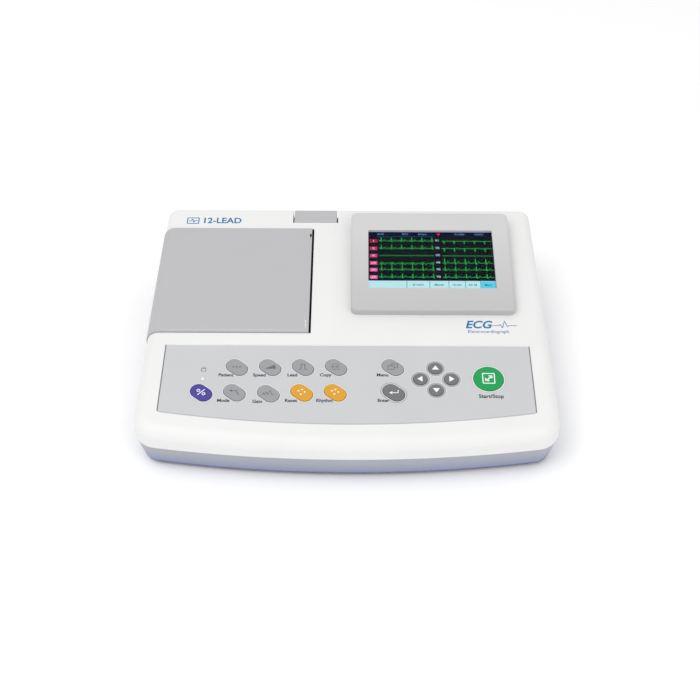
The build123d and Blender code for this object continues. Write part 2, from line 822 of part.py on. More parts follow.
with BuildPart() as keypad_board:
    with BuildSketch(deck.offset(keyboard_top - pcb)):
        with Locations((0, (key_board_front + key_board_back) / 2)):
            Rectangle(2 * key_board_half, key_board_back - key_board_front)
        with Locations(*keyboard_posts):
            Circle(screw_radius + 0.2, mode=Mode.SUBTRACT)
    extrude(amount=pcb)

with BuildPart() as key_domes:
    for x, s in all_keys.values():
        with BuildSketch(deck.offset(keyboard_top)):
            with Locations((x, s)):
                Circle(dome_radius)
        extrude(amount=dome_height, taper=40)

keys = {}
for name, (x, s) in all_keys.items():
    with BuildPart() as key:
        extrude(key_outline(name, flange_top - flange_height, key_flange), amount=flange_height)
        extrude(key_outline(name, flange_top), amount=key_height - flange_top)
        fillet(key.faces().filter_by(deck).sort_by(up_from_deck)[-1].edges(), 0.45)
        with BuildSketch(deck.offset(flange_top - flange_height)):
            with Locations((x, s)):
                Circle(dome_radius - 1.0)
        extrude(amount=-stem_length)
    keys[name] = key

with BuildPart() as status_led:
    with BuildSketch(deck.offset(keyboard_top)):
        with Locations(led_place):
            Circle(led_radius)
    extrude(amount=-keyboard_top + 0.2)

# ================================================================ display
with BuildPart() as display_bezel:
    extrude(pod_outline(0), amount=-30.0)
    split(bisect_by=deck, keep=Keep.TOP)
    fillet(display_bezel.faces().filter_by(pod).sort_by(up_from_pod)[-1].edges(), pod_edge_radius)
    extrude(pod_outline(wall, wall), amount=-40.0, mode=Mode.SUBTRACT)
    with BuildSketch(pod.offset(1)):
        with Locations((0, window_centre)):
            RectangleRounded(window_width, window_height, 0.6)
    extrude(amount=-wall - 2, mode=Mode.SUBTRACT)
    # posts for the display board
    with BuildSketch(pod.offset(-wall)):
        with Locations(*display_posts):
            Circle(display_post_radius)
    extrude(amount=-lcd_bottom + wall)
    with BuildSketch(pod.offset(-lcd_bottom)):
        with Locations(*display_posts):
            Circle(screw_radius + running_gap)
    extrude(amount=5.0, mode=Mode.SUBTRACT)

with BuildPart() as display_window:
    add(window_block(window_width + 6.0, window_height + 6.0, wall, wall + window_pane))

with BuildPart() as lcd_panel:
    add(window_block(*lcd_size, lcd_top, lcd_top + lcd_thickness))
    chamfer(lcd_panel.edges().filter_by(up_from_pod), 1.0)

with BuildPart() as display_board:
    add(window_block(*display_board_size, lcd_bottom, lcd_bottom + pcb))
    with BuildSketch(pod.offset(-lcd_bottom - pcb)):
        with Locations((-20, window_centre), (15, window_centre + 12)):
            Rectangle(16, 16)
        with Locations((15, window_centre - 14)):
            Rectangle(24, 6)
    extrude(amount=-2.0)
    with BuildSketch(pod.offset(-lcd_bottom)):
        with Locations(*display_posts):
            Circle(screw_radius + 0.2)
    extrude(amount=-pcb, mode=Mode.SUBTRACT)

# ================================================================ recorder: door side
door_outer = case_form(-door_proud, parting_height)
door_inner = case_form(door_wall - door_proud, parting_height)

with BuildPart() as paper_door:
    add(door_outer)
    add(door_inner, mode=Mode.SUBTRACT)
    add(
        level_box(-tall, door_right, door_front_y, door_back_y, hinge_height, tall),
        mode=Mode.INTERSECT,
    )
    # barrel along the lower edge
    with BuildSketch(hinge_plane):
        Circle(hinge_radius)
    extrude(amount=hinge_length)
    # ears that carry the platen, each with the lug that the latch hooks over
    for ear in (front_ear, back_ear):
        add(deck_box(platen_x - 6.0, ear_right, ear, ear + ear_wall, -platen_depth - 4.5, -door_wall / 2))
        add(deck_box(ear_right - 1.0, lug_right, ear, ear + ear_wall, lug_top - 2.0, lug_top))
    add(rod(platen_x, -platen_depth, front_ear - 1, back_ear_end + 1, bush_radius), mode=Mode.SUBTRACT)
    # stiffening ribs under the panel
    for s in (door_start + 30.0, door_start + 60.0, door_start + 90.0):
        add(deck_box(bay_left + 4.0, platen_x - 12.0, s, s + 1.5, -3.0, -door_wall / 2))
    with BuildSketch(hinge_plane.offset(-1)):
        Circle(hinge_pin_radius + running_gap)
    extrude(amount=hinge_length + 2, mode=Mode.SUBTRACT)

with BuildPart() as hinge_pin:
    with BuildSketch(hinge_plane.offset(-move_gap - hinge_lug + 1.0)):
        Circle(hinge_pin_radius)
    extrude(amount=hinge_length + 2 * (move_gap + hinge_lug - 1.0))

with BuildPart() as platen_shaft:
    add(rod(platen_x, -platen_depth, gear_start, back_ear_end, platen_shaft_radius))

with BuildPart() as platen_roller:
    add(rod(platen_x, -platen_depth, roller_start, roller_end, platen_radius))
    shaft_bore = rod(platen_x, -platen_depth, roller_start - 1, roller_end + 1, platen_shaft_radius)
    add(shaft_bore, mode=Mode.SUBTRACT)

with BuildPart() as platen_bushes:
    for ear in (front_ear, back_ear):
        add(rod(platen_x, -platen_depth, ear, ear + ear_wall, bush_radius))
    add(
        rod(platen_x, -platen_depth, front_ear - 1, back_ear_end + 1, platen_shaft_radius + running_gap),
        mode=Mode.SUBTRACT,
    )


def tooth_face(right, left, inner, heel):
    """One gear tooth lying along local x, from its two flanks and its heel inside the root circle."""
    with BuildSketch() as tooth:
        with BuildLine():
            Spline(*right)
            Line(right[-1], left[0])
            Spline(*left)
            Polyline(
                left[-1],
                (inner * cos(heel), inner * sin(heel)),
                (inner * cos(heel), -inner * sin(heel)),
                right[0],
            )
        make_face()
    return tooth.sketch


def gear(teeth, x, n, tooth_angle, bore):
    """Spur gear with involute teeth, one tooth centred at tooth_angle, on the recorder's gear plane."""
    pressure = radians(20)
    pitch = gear_module * teeth / 2
    base = pitch * cos(pressure)
    tip = pitch + 0.8 * gear_module
    root = pitch - 1.25 * gear_module
    half_tooth = pi / (2 * teeth) - gear_backlash / (2 * pitch)

    def flank_angle(radius):
        """Half the tooth's angle at a radius; the involute is tan(a) - a, where cos(a) = base / radius."""
        a = sqrt(max((radius / base) ** 2 - 1, 0.0))
        involute = a - atan2(a, 1)
        return half_tooth + tan(pressure) - pressure - involute

    radii = [base + (tip - base) * step / 4 for step in range(5)]
    right = [(r * cos(-flank_angle(r)), r * sin(-flank_angle(r))) for r in radii]
    left = [(px, -py) for px, py in reversed(right)]
    inner = root - 0.4
    heel = flank_angle(base)
    with BuildPart() as wheel:
        with BuildSketch(section(gear_start)):
            with Locations((x, n)):
                Circle(root)
                with PolarLocations(0, teeth, start_angle=tooth_angle):
                    add(tooth_face(right, left, inner, heel))
                Circle(bore, mode=Mode.SUBTRACT)
        extrude(amount=-gear_width)
    return wheel.part


with BuildPart() as platen_gear:
    add(gear(platen_teeth, platen_x, -platen_depth, -90.0, platen_shaft_radius))

with BuildPart() as idler_gear:
    add(gear(idler_teeth, platen_x, idler_n, 90.0 + 180.0 / idler_teeth, axle_radius + running_gap))

with BuildPart() as motor_pinion:
    add(gear(pinion_teeth, platen_x, pinion_n, 90.0, motor_shaft_radius))

# ================================================================ recorder: case side
with BuildPart() as recorder_chassis:
    # paper trough, then the pan under the platen and the gear box in front of it
    with BuildSketch(section(bay_start - chassis_wall)):
        with Locations(((bay_left - chassis_wall + pan_left) / 2, (rim_n + bay_floor - chassis_wall) / 2)):
            Rectangle(pan_left - bay_left + chassis_wall, rim_n - bay_floor + chassis_wall)
        with Locations((trough_x, trough_n)):
            Circle(trough_radius + chassis_wall)
            Rectangle(
                2 * (trough_radius + chassis_wall),
                bay_floor - trough_n,
                align=(Align.CENTER, Align.MIN),
            )
    extrude(amount=-(bay_end - bay_start + 2 * chassis_wall))
    split(bisect_by=deck.offset(rim_n), keep=Keep.BOTTOM)
    add(
        deck_box(
            pan_left - chassis_wall,
            pan_right,
            gear_plate,
            back_ear_end + 2.4 + chassis_wall,
            pan_floor - chassis_wall,
            rim_n,
        )
    )
    gear_wall_end = front_ear + 0.2 + chassis_wall
    add(deck_box(pan_left - chassis_wall, pan_right, gear_plate, gear_wall_end, gear_floor, rim_n))
    with BuildSketch(section(bay_start)):
        with Locations(((bay_left + pan_left) / 2, bay_floor / 2 + rim_n / 2 + 2)):
            Rectangle(pan_left - bay_left + 0.02, rim_n - bay_floor + 4)
        with Locations((trough_x, trough_n)):
            Circle(trough_radius)
            Rectangle(2 * trough_radius, 20.0, align=(Align.CENTER, Align.MIN))
    extrude(amount=-(bay_end - bay_start), mode=Mode.SUBTRACT)
    # the ears swing back as the door opens, so the back wall stands clear of them
    pan_start = gear_plate + chassis_wall
    pan_end = back_ear_end + 2.4
    add(deck_box(pan_left, pan_right - chassis_wall, pan_start, pan_end, pan_floor, 5.0), mode=Mode.SUBTRACT)
    add(
        deck_box(pan_left - 2 * chassis_wall, pan_left + 1, bay_start, bay_end, bay_floor, 5.0),
        mode=Mode.SUBTRACT,
    )
    add(
        deck_box(
            pan_left,
            pan_right - chassis_wall,
            gear_plate + chassis_wall,
            front_ear,
            gear_floor + chassis_wall,
            5.0,
        ),
        mode=Mode.SUBTRACT,
    )
    # notches that the latch hooks reach through
    for ear in (front_ear, back_ear):
        notch_start = ear - 0.6
        notch_end = ear + ear_wall + 0.6
        notch_left = pan_right - 2 * chassis_wall
        notch = deck_box(notch_left, pan_right + 1, notch_start, notch_end, hook_bottom - 1, 1.0)
        add(notch, mode=Mode.SUBTRACT)
    # shelves that the latch bar slides on, and the post of its spring
    shelf_top = bar_bottom - 0.3
    shelf_bottom = shelf_top - 2.0
    post_start = roller_mid - 5.0
    post_end = roller_mid + 5.0
    for shelf in (bay_start + 25.0, bay_end - 35.0):
        add(deck_box(pan_right - 1, bar_right + 4.0, shelf, shelf + 10.0, shelf_bottom, shelf_top))
    add(deck_box(pan_right - 1, spring_post + 2.0, post_start, post_end, shelf_bottom, shelf_top))
    add(deck_box(spring_post, spring_post + 2.0, post_start, post_end, shelf_top, bar_top))
    # holes for the mounting screws, idler axle and motor shaft
    for x, s, n in chassis_screws:
        with BuildSketch(deck.offset(n + 1)):
            with Locations((x, s)):
                Circle(screw_radius + 0.2)
        extrude(amount=-chassis_wall - 2, mode=Mode.SUBTRACT)
    hole_start = gear_plate - 1
    hole_end = gear_plate + chassis_wall + 1
    add(rod(platen_x, idler_n, hole_start, hole_end, axle_radius), mode=Mode.SUBTRACT)
    add(rod(platen_x, pinion_n, hole_start, hole_end, 3.0), mode=Mode.SUBTRACT)

with BuildPart() as idler_axle:
    add(rod(platen_x, idler_n, gear_plate, gear_start + gear_width + 0.2, axle_radius))
    add(rod(platen_x, idler_n, gear_plate - 1.2, gear_plate, axle_radius + 1.2))

with BuildPart() as feed_motor:
    add(rod(platen_x, pinion_n, gear_plate - motor_length, gear_plate, motor_radius))
    fillet(feed_motor.faces().sort_by(along_deck)[0].edges(), 1.0)
    motor_bore_radius = motor_shaft_radius + running_gap
    add(rod(platen_x, pinion_n, gear_plate - 8.0, gear_plate + 1.0, motor_bore_radius), mode=Mode.SUBTRACT)

with BuildPart() as motor_shaft:
    add(rod(platen_x, pinion_n, gear_plate - 7.5, gear_start + gear_width, motor_shaft_radius))

with BuildPart() as print_head:
    head_top = head_bottom + head_height
    add(deck_box(head_x, head_x + head_thickness, head_start, head_end, head_bottom, head_top))
    # the heating line, level with the platen's axis
    line_start = head_start + 2
    line_end = head_end - 2
    add(deck_box(head_x - 0.1, head_x + 0.5, line_start, line_end, -platen_depth - 2, -platen_depth + 2))

with BuildPart() as head_bracket:
    add(
        deck_box(
            head_x + head_thickness,
            head_x + head_thickness + bracket_wall,
            head_start,
            head_end,
            head_bottom,
            head_bottom + head_height - 2,
        )
    )


def coil_spring(plane, radius, wire, length, turns):
    """Compression spring of round wire, from a plane along its normal."""
    with BuildPart() as spring:
        with BuildLine() as path:
            Helix(
                pitch=(length - wire) / turns,
                height=length - wire,
                radius=radius,
                center=plane.offset(wire / 2).origin,
                direction=plane.z_dir,
            )
        with BuildSketch(Plane(origin=path.line @ 0, z_dir=path.line % 0)):
            Circle(wire / 2)
        sweep()
    return spring.part


def sideways(x, s, n):
    """Plane at a point of the recorder that looks along +X."""
    return Plane(origin=deck.from_local_coords((x, s, n)), x_dir=deck.y_dir, z_dir=(1, 0, 0))


with BuildPart() as head_springs:
    for s in (head_start + 20.0, roller_mid, head_end - 20.0):
        seat = head_x + head_thickness + bracket_wall
        add(
            coil_spring(
                sideways(seat + 0.1, s, -platen_depth),
                2.2,
                0.6,
                pan_right - chassis_wall - seat - 0.2,
                4,
            )
        )

# ================================================================ release tab and latch
tab_inner = case_form(tab_wall, parting_height)

with BuildPart() as release_tab:
    add(outer_form)
    add(tab_inner, mode=Mode.SUBTRACT)
    add(
        deck_box(tab_left, tab_right, tab_start, tall * 2, -tab_skirt, tall / 4),
        mode=Mode.INTERSECT,
    )
    with BuildSketch(deck.offset(-tab_wall / 2)):
        with Locations(*tab_legs):
            Circle(tab_leg_radius)
    extrude(amount=tab_leg_end + tab_wall / 2)
    # wedge whose sloping face pushes the latch bar to the right
    with BuildSketch(section(tab_start + 3.0)):
        with BuildLine():
            wedge_low = bar_top - latch_chamfer + wedge_gap
            wedge_left = bar_left - wedge_gap
            wedge_reach = 5.5
            Polyline(
                (bar_left - latch_chamfer, -tab_wall / 2),
                (bar_left - latch_chamfer, wedge_low),
                (wedge_left, wedge_low),
                (wedge_left + wedge_reach, wedge_low + wedge_reach),
                (wedge_left + wedge_reach, -tab_wall / 2),
                close=True,
            )
        make_face()
    extrude(amount=-8.0)

with BuildPart() as latch_bar:
    add(deck_box(bar_left, bar_right, front_ear - 3.0, tab_start + 10.5, bar_bottom, bar_top))
    with BuildSketch(section(tab_start + 1.0)):
        with Locations((bar_left, bar_top)):
            Rectangle(latch_chamfer * sqrt(2), latch_chamfer * sqrt(2), rotation=45)
    extrude(amount=-tab_length, mode=Mode.SUBTRACT)
    # hooks over the door's lugs
    for ear in (front_ear, back_ear):
        hook_top = hook_bottom + hook_height
        add(deck_box(ear_right + 0.5, bar_left + 1, ear, ear + ear_wall, hook_bottom, hook_top))
        add(deck_box(bar_left, bar_right, ear - 2.0, ear + ear_wall + 2.0, bar_top - 1, hook_top))

with BuildPart() as latch_spring:
    add(
        coil_spring(
            sideways(bar_right + 0.1, roller_mid, (bar_top + bar_bottom) / 2),
            1.8,
            0.5,
            spring_post - bar_right - 0.2,
            6,
        )
    )

with BuildPart() as tab_springs:
    for leg_x, leg_s in tab_legs:
        leg_plane = Plane(
            origin=deck.from_local_coords((leg_x, leg_s, guide_top + 0.1)),
            x_dir=(1, 0, 0),
            z_dir=deck.z_dir,
        )
        add(coil_spring(leg_plane, tab_leg_radius + 0.9, 0.5, -tab_wall - guide_top - 0.3, 5))

# ================================================================ electronics
with BuildPart() as main_board:
    with BuildSketch(Plane.XY.offset(board_height)):
        with Locations((board_x, board_y)):
            Rectangle(*board_size)
        with Locations(*board_posts):
            Circle(screw_radius + 0.2, mode=Mode.SUBTRACT)
    extrude(amount=pcb)
    with BuildSketch(Plane.XY.offset(board_height + pcb)):
        with Locations((board_x - 18, board_y + 6)):
            Rectangle(24, 24)
        with Locations((board_x + 22, board_y + 10)):
            with GridLocations(16, 20, 2, 2):
                Rectangle(11, 14)
        with Locations((board_x, board_y - 15)):
            Rectangle(50, 5)
    extrude(amount=2.2)

with BuildPart() as power_supply_board:
    with BuildSketch(Plane.XY.offset(supply_height)):
        with Locations((supply_x, supply_y)):
            Rectangle(*supply_size)
        with Locations(*supply_posts):
            Circle(screw_radius + 0.2, mode=Mode.SUBTRACT)
    extrude(amount=pcb)
    with BuildSketch(Plane.XY.offset(supply_height + pcb)):
        with Locations((supply_x - 14, supply_y)):
            Rectangle(26, 22)
        with Locations((supply_x + 26, supply_y + 8)):
            with GridLocations(14, 16, 2, 2):
                Circle(5.0)
    extrude(amount=12.0)

with BuildPart() as network_socket:
    add(
        level_box(
            network_x - network_width / 2,
            network_x + network_width / 2,
            back_y - socket_length,
            back_y - 0.3,
            socket_z,
            socket_z + network_height,
        )
    )
    add(
        level_box(
            network_x - 6.0,
            network_x + 6.0,
            back_y - 12.0,
            back_y + 1,
            socket_z + 2.0,
            socket_z + 10.5,
        ),
        mode=Mode.SUBTRACT,
    )

with BuildPart() as usb_socket:
    add(
        level_box(
            usb_x - usb_width / 2,
            usb_x + usb_width / 2,
            back_y - socket_length,
            back_y - 0.3,
            socket_z,
            socket_z + usb_height,
        )
    )
    shell_floor = socket_z + 0.5
    shell_roof = socket_z + usb_height - 0.5
    add(
        level_box(usb_x - 6.1, usb_x + 6.1, back_y - 12.0, back_y + 1, shell_floor, shell_roof),
        mode=Mode.SUBTRACT,
    )
    add(level_box(usb_x - 5.5, usb_x + 5.5, back_y - 13.0, back_y - 1.5, socket_z + 3.4, socket_z + 5.2))

with BuildPart() as mains_inlet:
    with BuildSketch(Plane.XZ.offset(-back_y + 0.3)):
        with Locations((inlet_x, inlet_z)):
            Rectangle(inlet_width, inlet_height)
    extrude(amount=inlet_depth)
    with BuildSketch(Plane.XZ.offset(-back_y + wall + 0.1)):
        with Locations((inlet_x, inlet_z)):
            Rectangle(inlet_width + 6.0, inlet_height + 6.0)
    extrude(amount=2.0)
    with BuildSketch(Plane.XZ.offset(-back_y)):
        with Locations((inlet_x, inlet_z)):
            Rectangle(inlet_cavity[0], inlet_cavity[1])
    extrude(amount=inlet_cavity[2], mode=Mode.SUBTRACT)
    for blade_x, blade_z in ((-7.0, -2.0), (7.0, -2.0), (0.0, 2.0)):
        add(
            level_box(
                inlet_x + blade_x - 1.0,
                inlet_x + blade_x + 1.0,
                back_y - inlet_cavity[2] - 1,
                back_y - 6.0,
                inlet_z + blade_z - 2.0,
                inlet_z + blade_z + 2.0,
            )
        )
    # solder tags behind
    for tag_x in (-7.0, 0.0, 7.0):
        add(
            level_box(
                inlet_x + tag_x - 2.4,
                inlet_x + tag_x + 2.4,
                back_y - inlet_depth - 7.0,
                back_y - inlet_depth + 1.0,
                inlet_z - 0.4,
                inlet_z + 0.4,
            )
        )

with BuildPart() as earth_terminal:
    with BuildSketch(Plane.XZ.offset(-back_y + 1.5)):
        with Locations((terminal_x, inlet_z)):
            Circle(terminal_radius)
    extrude(amount=16.0)
    with BuildSketch(Plane.XZ.offset(terminal_depth - 3.0 - back_y)):
        with Locations((terminal_x, inlet_z)):
            RegularPolygon(5.2, 6)
    extrude(amount=3.0)
    with BuildSketch(Plane.XZ.offset(terminal_depth + wall - back_y)):
        with Locations((terminal_x, inlet_z)):
            RegularPolygon(5.2, 6)
    extrude(amount=2.5)

with BuildPart() as ecg_socket:
    face = half_width(ecg_y) - 0.4
    with BuildSketch(Plane.YZ.offset(face - wall - 0.2)):
        with Locations((ecg_y, ecg_z)):
            RectangleRounded(40.0, 13.0, 1.5)
    extrude(amount=-1.5)
    with BuildSketch(Plane.YZ.offset(face - wall - 1.0)):
        with Locations((ecg_y, ecg_z)):
            RectangleRounded(ecg_shell[0], ecg_shell[1], 2.8)
            RectangleRounded(ecg_shell[0] - 1.0, ecg_shell[1] - 1.0, 2.3, mode=Mode.SUBTRACT)
            with Locations((-ecg_pitch / 2, 0), (ecg_pitch / 2, 0)):
                Circle(ecg_stud)
    extrude(amount=wall + 1.0)
    with BuildSketch(Plane.YZ.offset(face - wall - 1.0)):
        with Locations((ecg_y, ecg_z)):
            RectangleRounded(ecg_shell[0] - 3.0, ecg_shell[1] - 3.0, 1.6)
    extrude(amount=wall)
    with BuildSketch(Plane.YZ.offset(face - 1.0)):
        with Locations((ecg_y, ecg_z + 1.4)):
            with GridLocations(2.75, 1.0, 8, 1):
                Circle(0.5)
        with Locations((ecg_y, ecg_z - 1.4)):
            with GridLocations(2.75, 1.0, 7, 1):
                Circle(0.5)
    extrude(amount=-2.0, mode=Mode.SUBTRACT)
    with BuildSketch(Plane.YZ.offset(face - wall - 1.7)):
        with Locations((ecg_y, ecg_z)):
            Rectangle(26.0, 10.0)
    extrude(amount=-8.0)

# ================================================================ fasteners
def seat_at(origin, direction):
    """Plane of a screw's seat, its normal pointing from the shank to the head."""
    return Plane(origin=origin, x_dir=(1, 0, 0), z_dir=direction)


case_screw_length = parting_height + 8.0 - foot_height - case_counterbore
case_screw = screw(screw_head_radius, screw_head_height, case_screw_length)
board_screw = screw(screw_head_radius, screw_head_height, board_screw_length - 0.5)
short_screw = screw(flat_head_radius, screw_head_height, 5.0)
cover_screw = screw(flat_head_radius, flat_head_height, 3.0)

with BuildPart() as case_screw_set:
    for x, y in case_screws:
        with Locations(seat_at((x, y, foot_height + case_counterbore), (0, 0, -1))):
            add(case_screw)

with BuildPart() as board_screw_set:
    for places, height in ((board_posts, board_height), (supply_posts, supply_height)):
        for x, y in places:
            with Locations((x, y, height + pcb)):
                add(board_screw)
    for x, s, n in chassis_screws:
        with Locations(seat_at(deck.from_local_coords((x, s, n)), deck.z_dir)):
            add(board_screw)

with BuildPart() as panel_screw_set:
    for x, s in keyboard_posts:
        with Locations(seat_at(deck.from_local_coords((x, s, keyboard_top - pcb)), -deck.z_dir)):
            add(short_screw)
    for x, along in display_posts:
        with Locations(seat_at(pod.from_local_coords((x, along, -lcd_bottom - pcb)), -pod.z_dir)):
            add(short_screw)

with BuildPart() as cover_screw_set:
    for x, y in cover_screw_places:
        with Locations(seat_at((x, y, foot_height + flat_head_height), (0, 0, -1))):
            add(cover_screw)

# ================================================================ files
pieces = {
    "upper_housing": upper_housing,
    "lower_housing": lower_housing,
    "battery_cover": battery_cover,
    "battery_pack": battery_pack,
    "rubber_feet": rubber_feet,
    "speaker": speaker,
    "keypad_overlay": keypad_overlay,
    "keypad_board": keypad_board,
    "key_domes": key_domes,
    "status_led": status_led,
    "display_bezel": display_bezel,
    "display_window": display_window,
    "lcd_panel": lcd_panel,
    "display_board": display_board,
    "paper_door": paper_door,
    "hinge_pin": hinge_pin,
    "platen_shaft": platen_shaft,
    "platen_roller": platen_roller,
    "platen_bushes": platen_bushes,
    "platen_gear": platen_gear,
    "idler_gear": idler_gear,
    "idler_axle": idler_axle,
    "motor_pinion": motor_pinion,
    "motor_shaft": motor_shaft,
    "feed_motor": feed_motor,
    "recorder_chassis": recorder_chassis,
    "print_head": print_head,
    "head_bracket": head_bracket,
    "head_springs": head_springs,
    "release_tab": release_tab,
    "tab_springs": tab_springs,
    "latch_bar": latch_bar,
    "latch_spring": latch_spring,
    "main_board": main_board,
    "power_supply_board": power_supply_board,
    "network_socket": network_socket,
    "usb_socket": usb_socket,
    "mains_inlet": mains_inlet,
    "earth_terminal": earth_terminal,
    "ecg_socket": ecg_socket,
    "case_screws": case_screw_set,
    "board_screws": board_screw_set,
    "panel_screws": panel_screw_set,
    "cover_screws": cover_screw_set,
    **keys,
}
for name, piece in pieces.items():
    finish(piece, name)
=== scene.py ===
"""Looks of a table electrocardiograph: finishes, printed marks, painted highlights and painted shade, screen
picture, light and camera.
"""

import json
import logging
import math
from dataclasses import dataclass, field
from enum import Enum

import bpy
import numpy as np
from mathutils import Euler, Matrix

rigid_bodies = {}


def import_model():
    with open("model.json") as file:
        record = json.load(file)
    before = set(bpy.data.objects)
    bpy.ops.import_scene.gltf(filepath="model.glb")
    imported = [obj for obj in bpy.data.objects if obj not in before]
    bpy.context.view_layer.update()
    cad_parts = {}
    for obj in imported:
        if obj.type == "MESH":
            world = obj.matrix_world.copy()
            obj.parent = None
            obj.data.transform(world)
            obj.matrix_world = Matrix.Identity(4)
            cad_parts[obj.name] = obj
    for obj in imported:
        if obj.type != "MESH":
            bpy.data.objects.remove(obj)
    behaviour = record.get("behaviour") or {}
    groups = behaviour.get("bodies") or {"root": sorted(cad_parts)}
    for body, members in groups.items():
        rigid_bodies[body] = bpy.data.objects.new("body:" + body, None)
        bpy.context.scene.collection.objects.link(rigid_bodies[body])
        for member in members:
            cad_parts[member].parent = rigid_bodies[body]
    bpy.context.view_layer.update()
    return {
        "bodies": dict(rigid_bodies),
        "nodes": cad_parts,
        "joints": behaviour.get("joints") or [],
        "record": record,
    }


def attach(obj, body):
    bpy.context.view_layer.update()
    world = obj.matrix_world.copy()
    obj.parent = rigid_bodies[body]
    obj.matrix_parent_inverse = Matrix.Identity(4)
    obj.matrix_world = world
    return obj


LOG = logging.getLogger("ecg_machine")
Colour = tuple[float, float, float]
MM = 0.001
LOOK_PREFIX = "look_"  # keeps these materials apart from the frame's own
PRINT_HEIGHT = 0.04  # mm that printed ink stands over its surface
POINT_WIDTH = 0.05  # mm left at the tip of a drawn arrow head


# ---------------------------------------------------------------- planes and surfaces
@dataclass(frozen=True)
class Sheet:
    """A plane of the machine, in millimetres, with x to the right and y towards the back."""

    origin: tuple[float, float, float]
    slope: float

    def place(self, flat: np.ndarray, height: float | np.ndarray) -> np.ndarray:
        """Puts flat points on the sheet.

        Args:
            flat: points (..., 2) in millimetres.
            height: distance over the sheet, in millimetres.

        Returns:
            Points (..., 3) in metres: origin + x ex + y ey + height n.
        """
        angle = math.radians(self.slope)
        across = np.array([1.0, 0.0, 0.0])
        along = np.array([0.0, math.cos(angle), math.sin(angle)])
        normal = np.array([0.0, -math.sin(angle), math.cos(angle)])
        lift = np.broadcast_to(np.asarray(height, float)[..., None], flat.shape[:-1] + (3,))
        spot = np.array(self.origin) + flat[..., :1] * across + flat[..., 1:2] * along + lift * normal
        return spot * MM


DECK = Sheet((0.0, -125.5, 43.0), 7.5)
POD = Sheet((70.6, 1.2, 66.74), 10.0)


@dataclass
class Surface:
    """Grids of points gathered into one mesh."""

    points: list[np.ndarray] = field(default_factory=list)
    faces: list[np.ndarray] = field(default_factory=list)
    count: int = 0

    def add_grid(self, grid: np.ndarray, wrap: bool = False) -> None:
        """Adds one grid of points as quads.

        Args:
            grid: points (rows, columns, 3); rows turn left of columns seen from outside.
            wrap: joins the last column to the first.
        """
        rows, columns = grid.shape[:2]
        index = np.arange(rows * columns).reshape(rows, columns) + self.count
        if wrap:
            index = np.concatenate([index, index[:, :1]], axis=1)
        quads = np.stack([index[:-1, :-1], index[:-1, 1:], index[1:, 1:], index[1:, :-1]], axis=-1)
        self.points.append(grid.reshape(-1, 3))
        self.faces.append(quads.reshape(-1, 4))
        self.count += rows * columns

    def build(self, name: str, material: bpy.types.Material) -> bpy.types.Object:
        """Makes the mesh object.

        Args:
            name: object name.
            material: its only material.

        Returns:
            The linked object, at the origin.
        """
        mesh = bpy.data.meshes.new(name)
        points = np.concatenate(self.points)
        faces = np.concatenate(self.faces)
        mesh.from_pydata(points.tolist(), [], faces.tolist())
        mesh.validate()
        mesh.materials.append(material)
        obj = bpy.data.objects.new(name, mesh)
        bpy.context.scene.collection.objects.link(obj)
        return obj


# ---------------------------------------------------------------- flat marks
def ribbon(path: np.ndarray, width: float | np.ndarray) -> np.ndarray:
    """A band along a flat path.

    Args:
        path: points (count, 2).
        width: full width, one value or one for each point.

    Returns:
        Grid (2, count, 2): path(t) -+ width(t) / 2 * left normal(t).
    """
    step = np.gradient(path, axis=0)
    length = np.maximum(np.hypot(step[:, 0], step[:, 1]), 1e-9)
    left = np.stack([-step[:, 1], step[:, 0]], axis=1) / length[:, None]
    half = np.broadcast_to(np.asarray(width, float) / 2, (len(path),))[:, None]
    return np.stack([path - left * half, path + left * half])


def line(*corners: tuple[float, float], steps: int = 8) -> np.ndarray:
    """Points along straight legs, p(t) = a + (b - a) t on each leg.

    Args:
        corners: the path's corners.
        steps: points on each leg.

    Returns:
        Points (count, 2).
    """
    knots = np.asarray(corners, float)
    where = np.linspace(0, len(knots) - 1, steps * (len(knots) - 1) + 1)
    spots = np.arange(len(knots))
    return np.stack([np.interp(where, spots, knots[:, axis]) for axis in (0, 1)], axis=1)


def ring(radius: float, start: float = 0.0, end: float = 360.0, steps: int = 48) -> np.ndarray:
    """Points of a circle or arc, p(a) = radius (cos a, sin a).

    Args:
        radius: of the circle.
        start: first angle in degrees.
        end: last angle in degrees.
        steps: number of points.

    Returns:
        Points (steps, 2).
    """
    angle = np.radians(np.linspace(start, end, steps))
    return radius * np.stack([np.cos(angle), np.sin(angle)], axis=1)


def slot(length: float, width: float, turn: float, steps: int = 24) -> np.ndarray:
    """Outline of a slot: two half circles of radius width / 2 joined by straights.

    Args:
        length: overall length.
        width: overall width.
        turn: angle in degrees.
        steps: points on each half circle.

    Returns:
        Closed outline (2 * steps + 1, 2), first point repeated.
    """
    reach = (length - width) / 2
    right = ring(width / 2, -90, 90, steps) + (reach, 0)
    left = ring(width / 2, 90, 270, steps) - (reach, 0)
    outline = np.concatenate([right, left, right[:1]])
    return rotate(outline, turn)


def rotate(flat: np.ndarray, degrees: float) -> np.ndarray:
    """Turns flat points about their origin.

    Args:
        flat: points (..., 2).
        degrees: angle, anticlockwise.

    Returns:
        Turned points.
    """
    angle = math.radians(degrees)
    turn = np.array([[math.cos(angle), math.sin(angle)], [-math.sin(angle), math.cos(angle)]])
    return flat @ turn


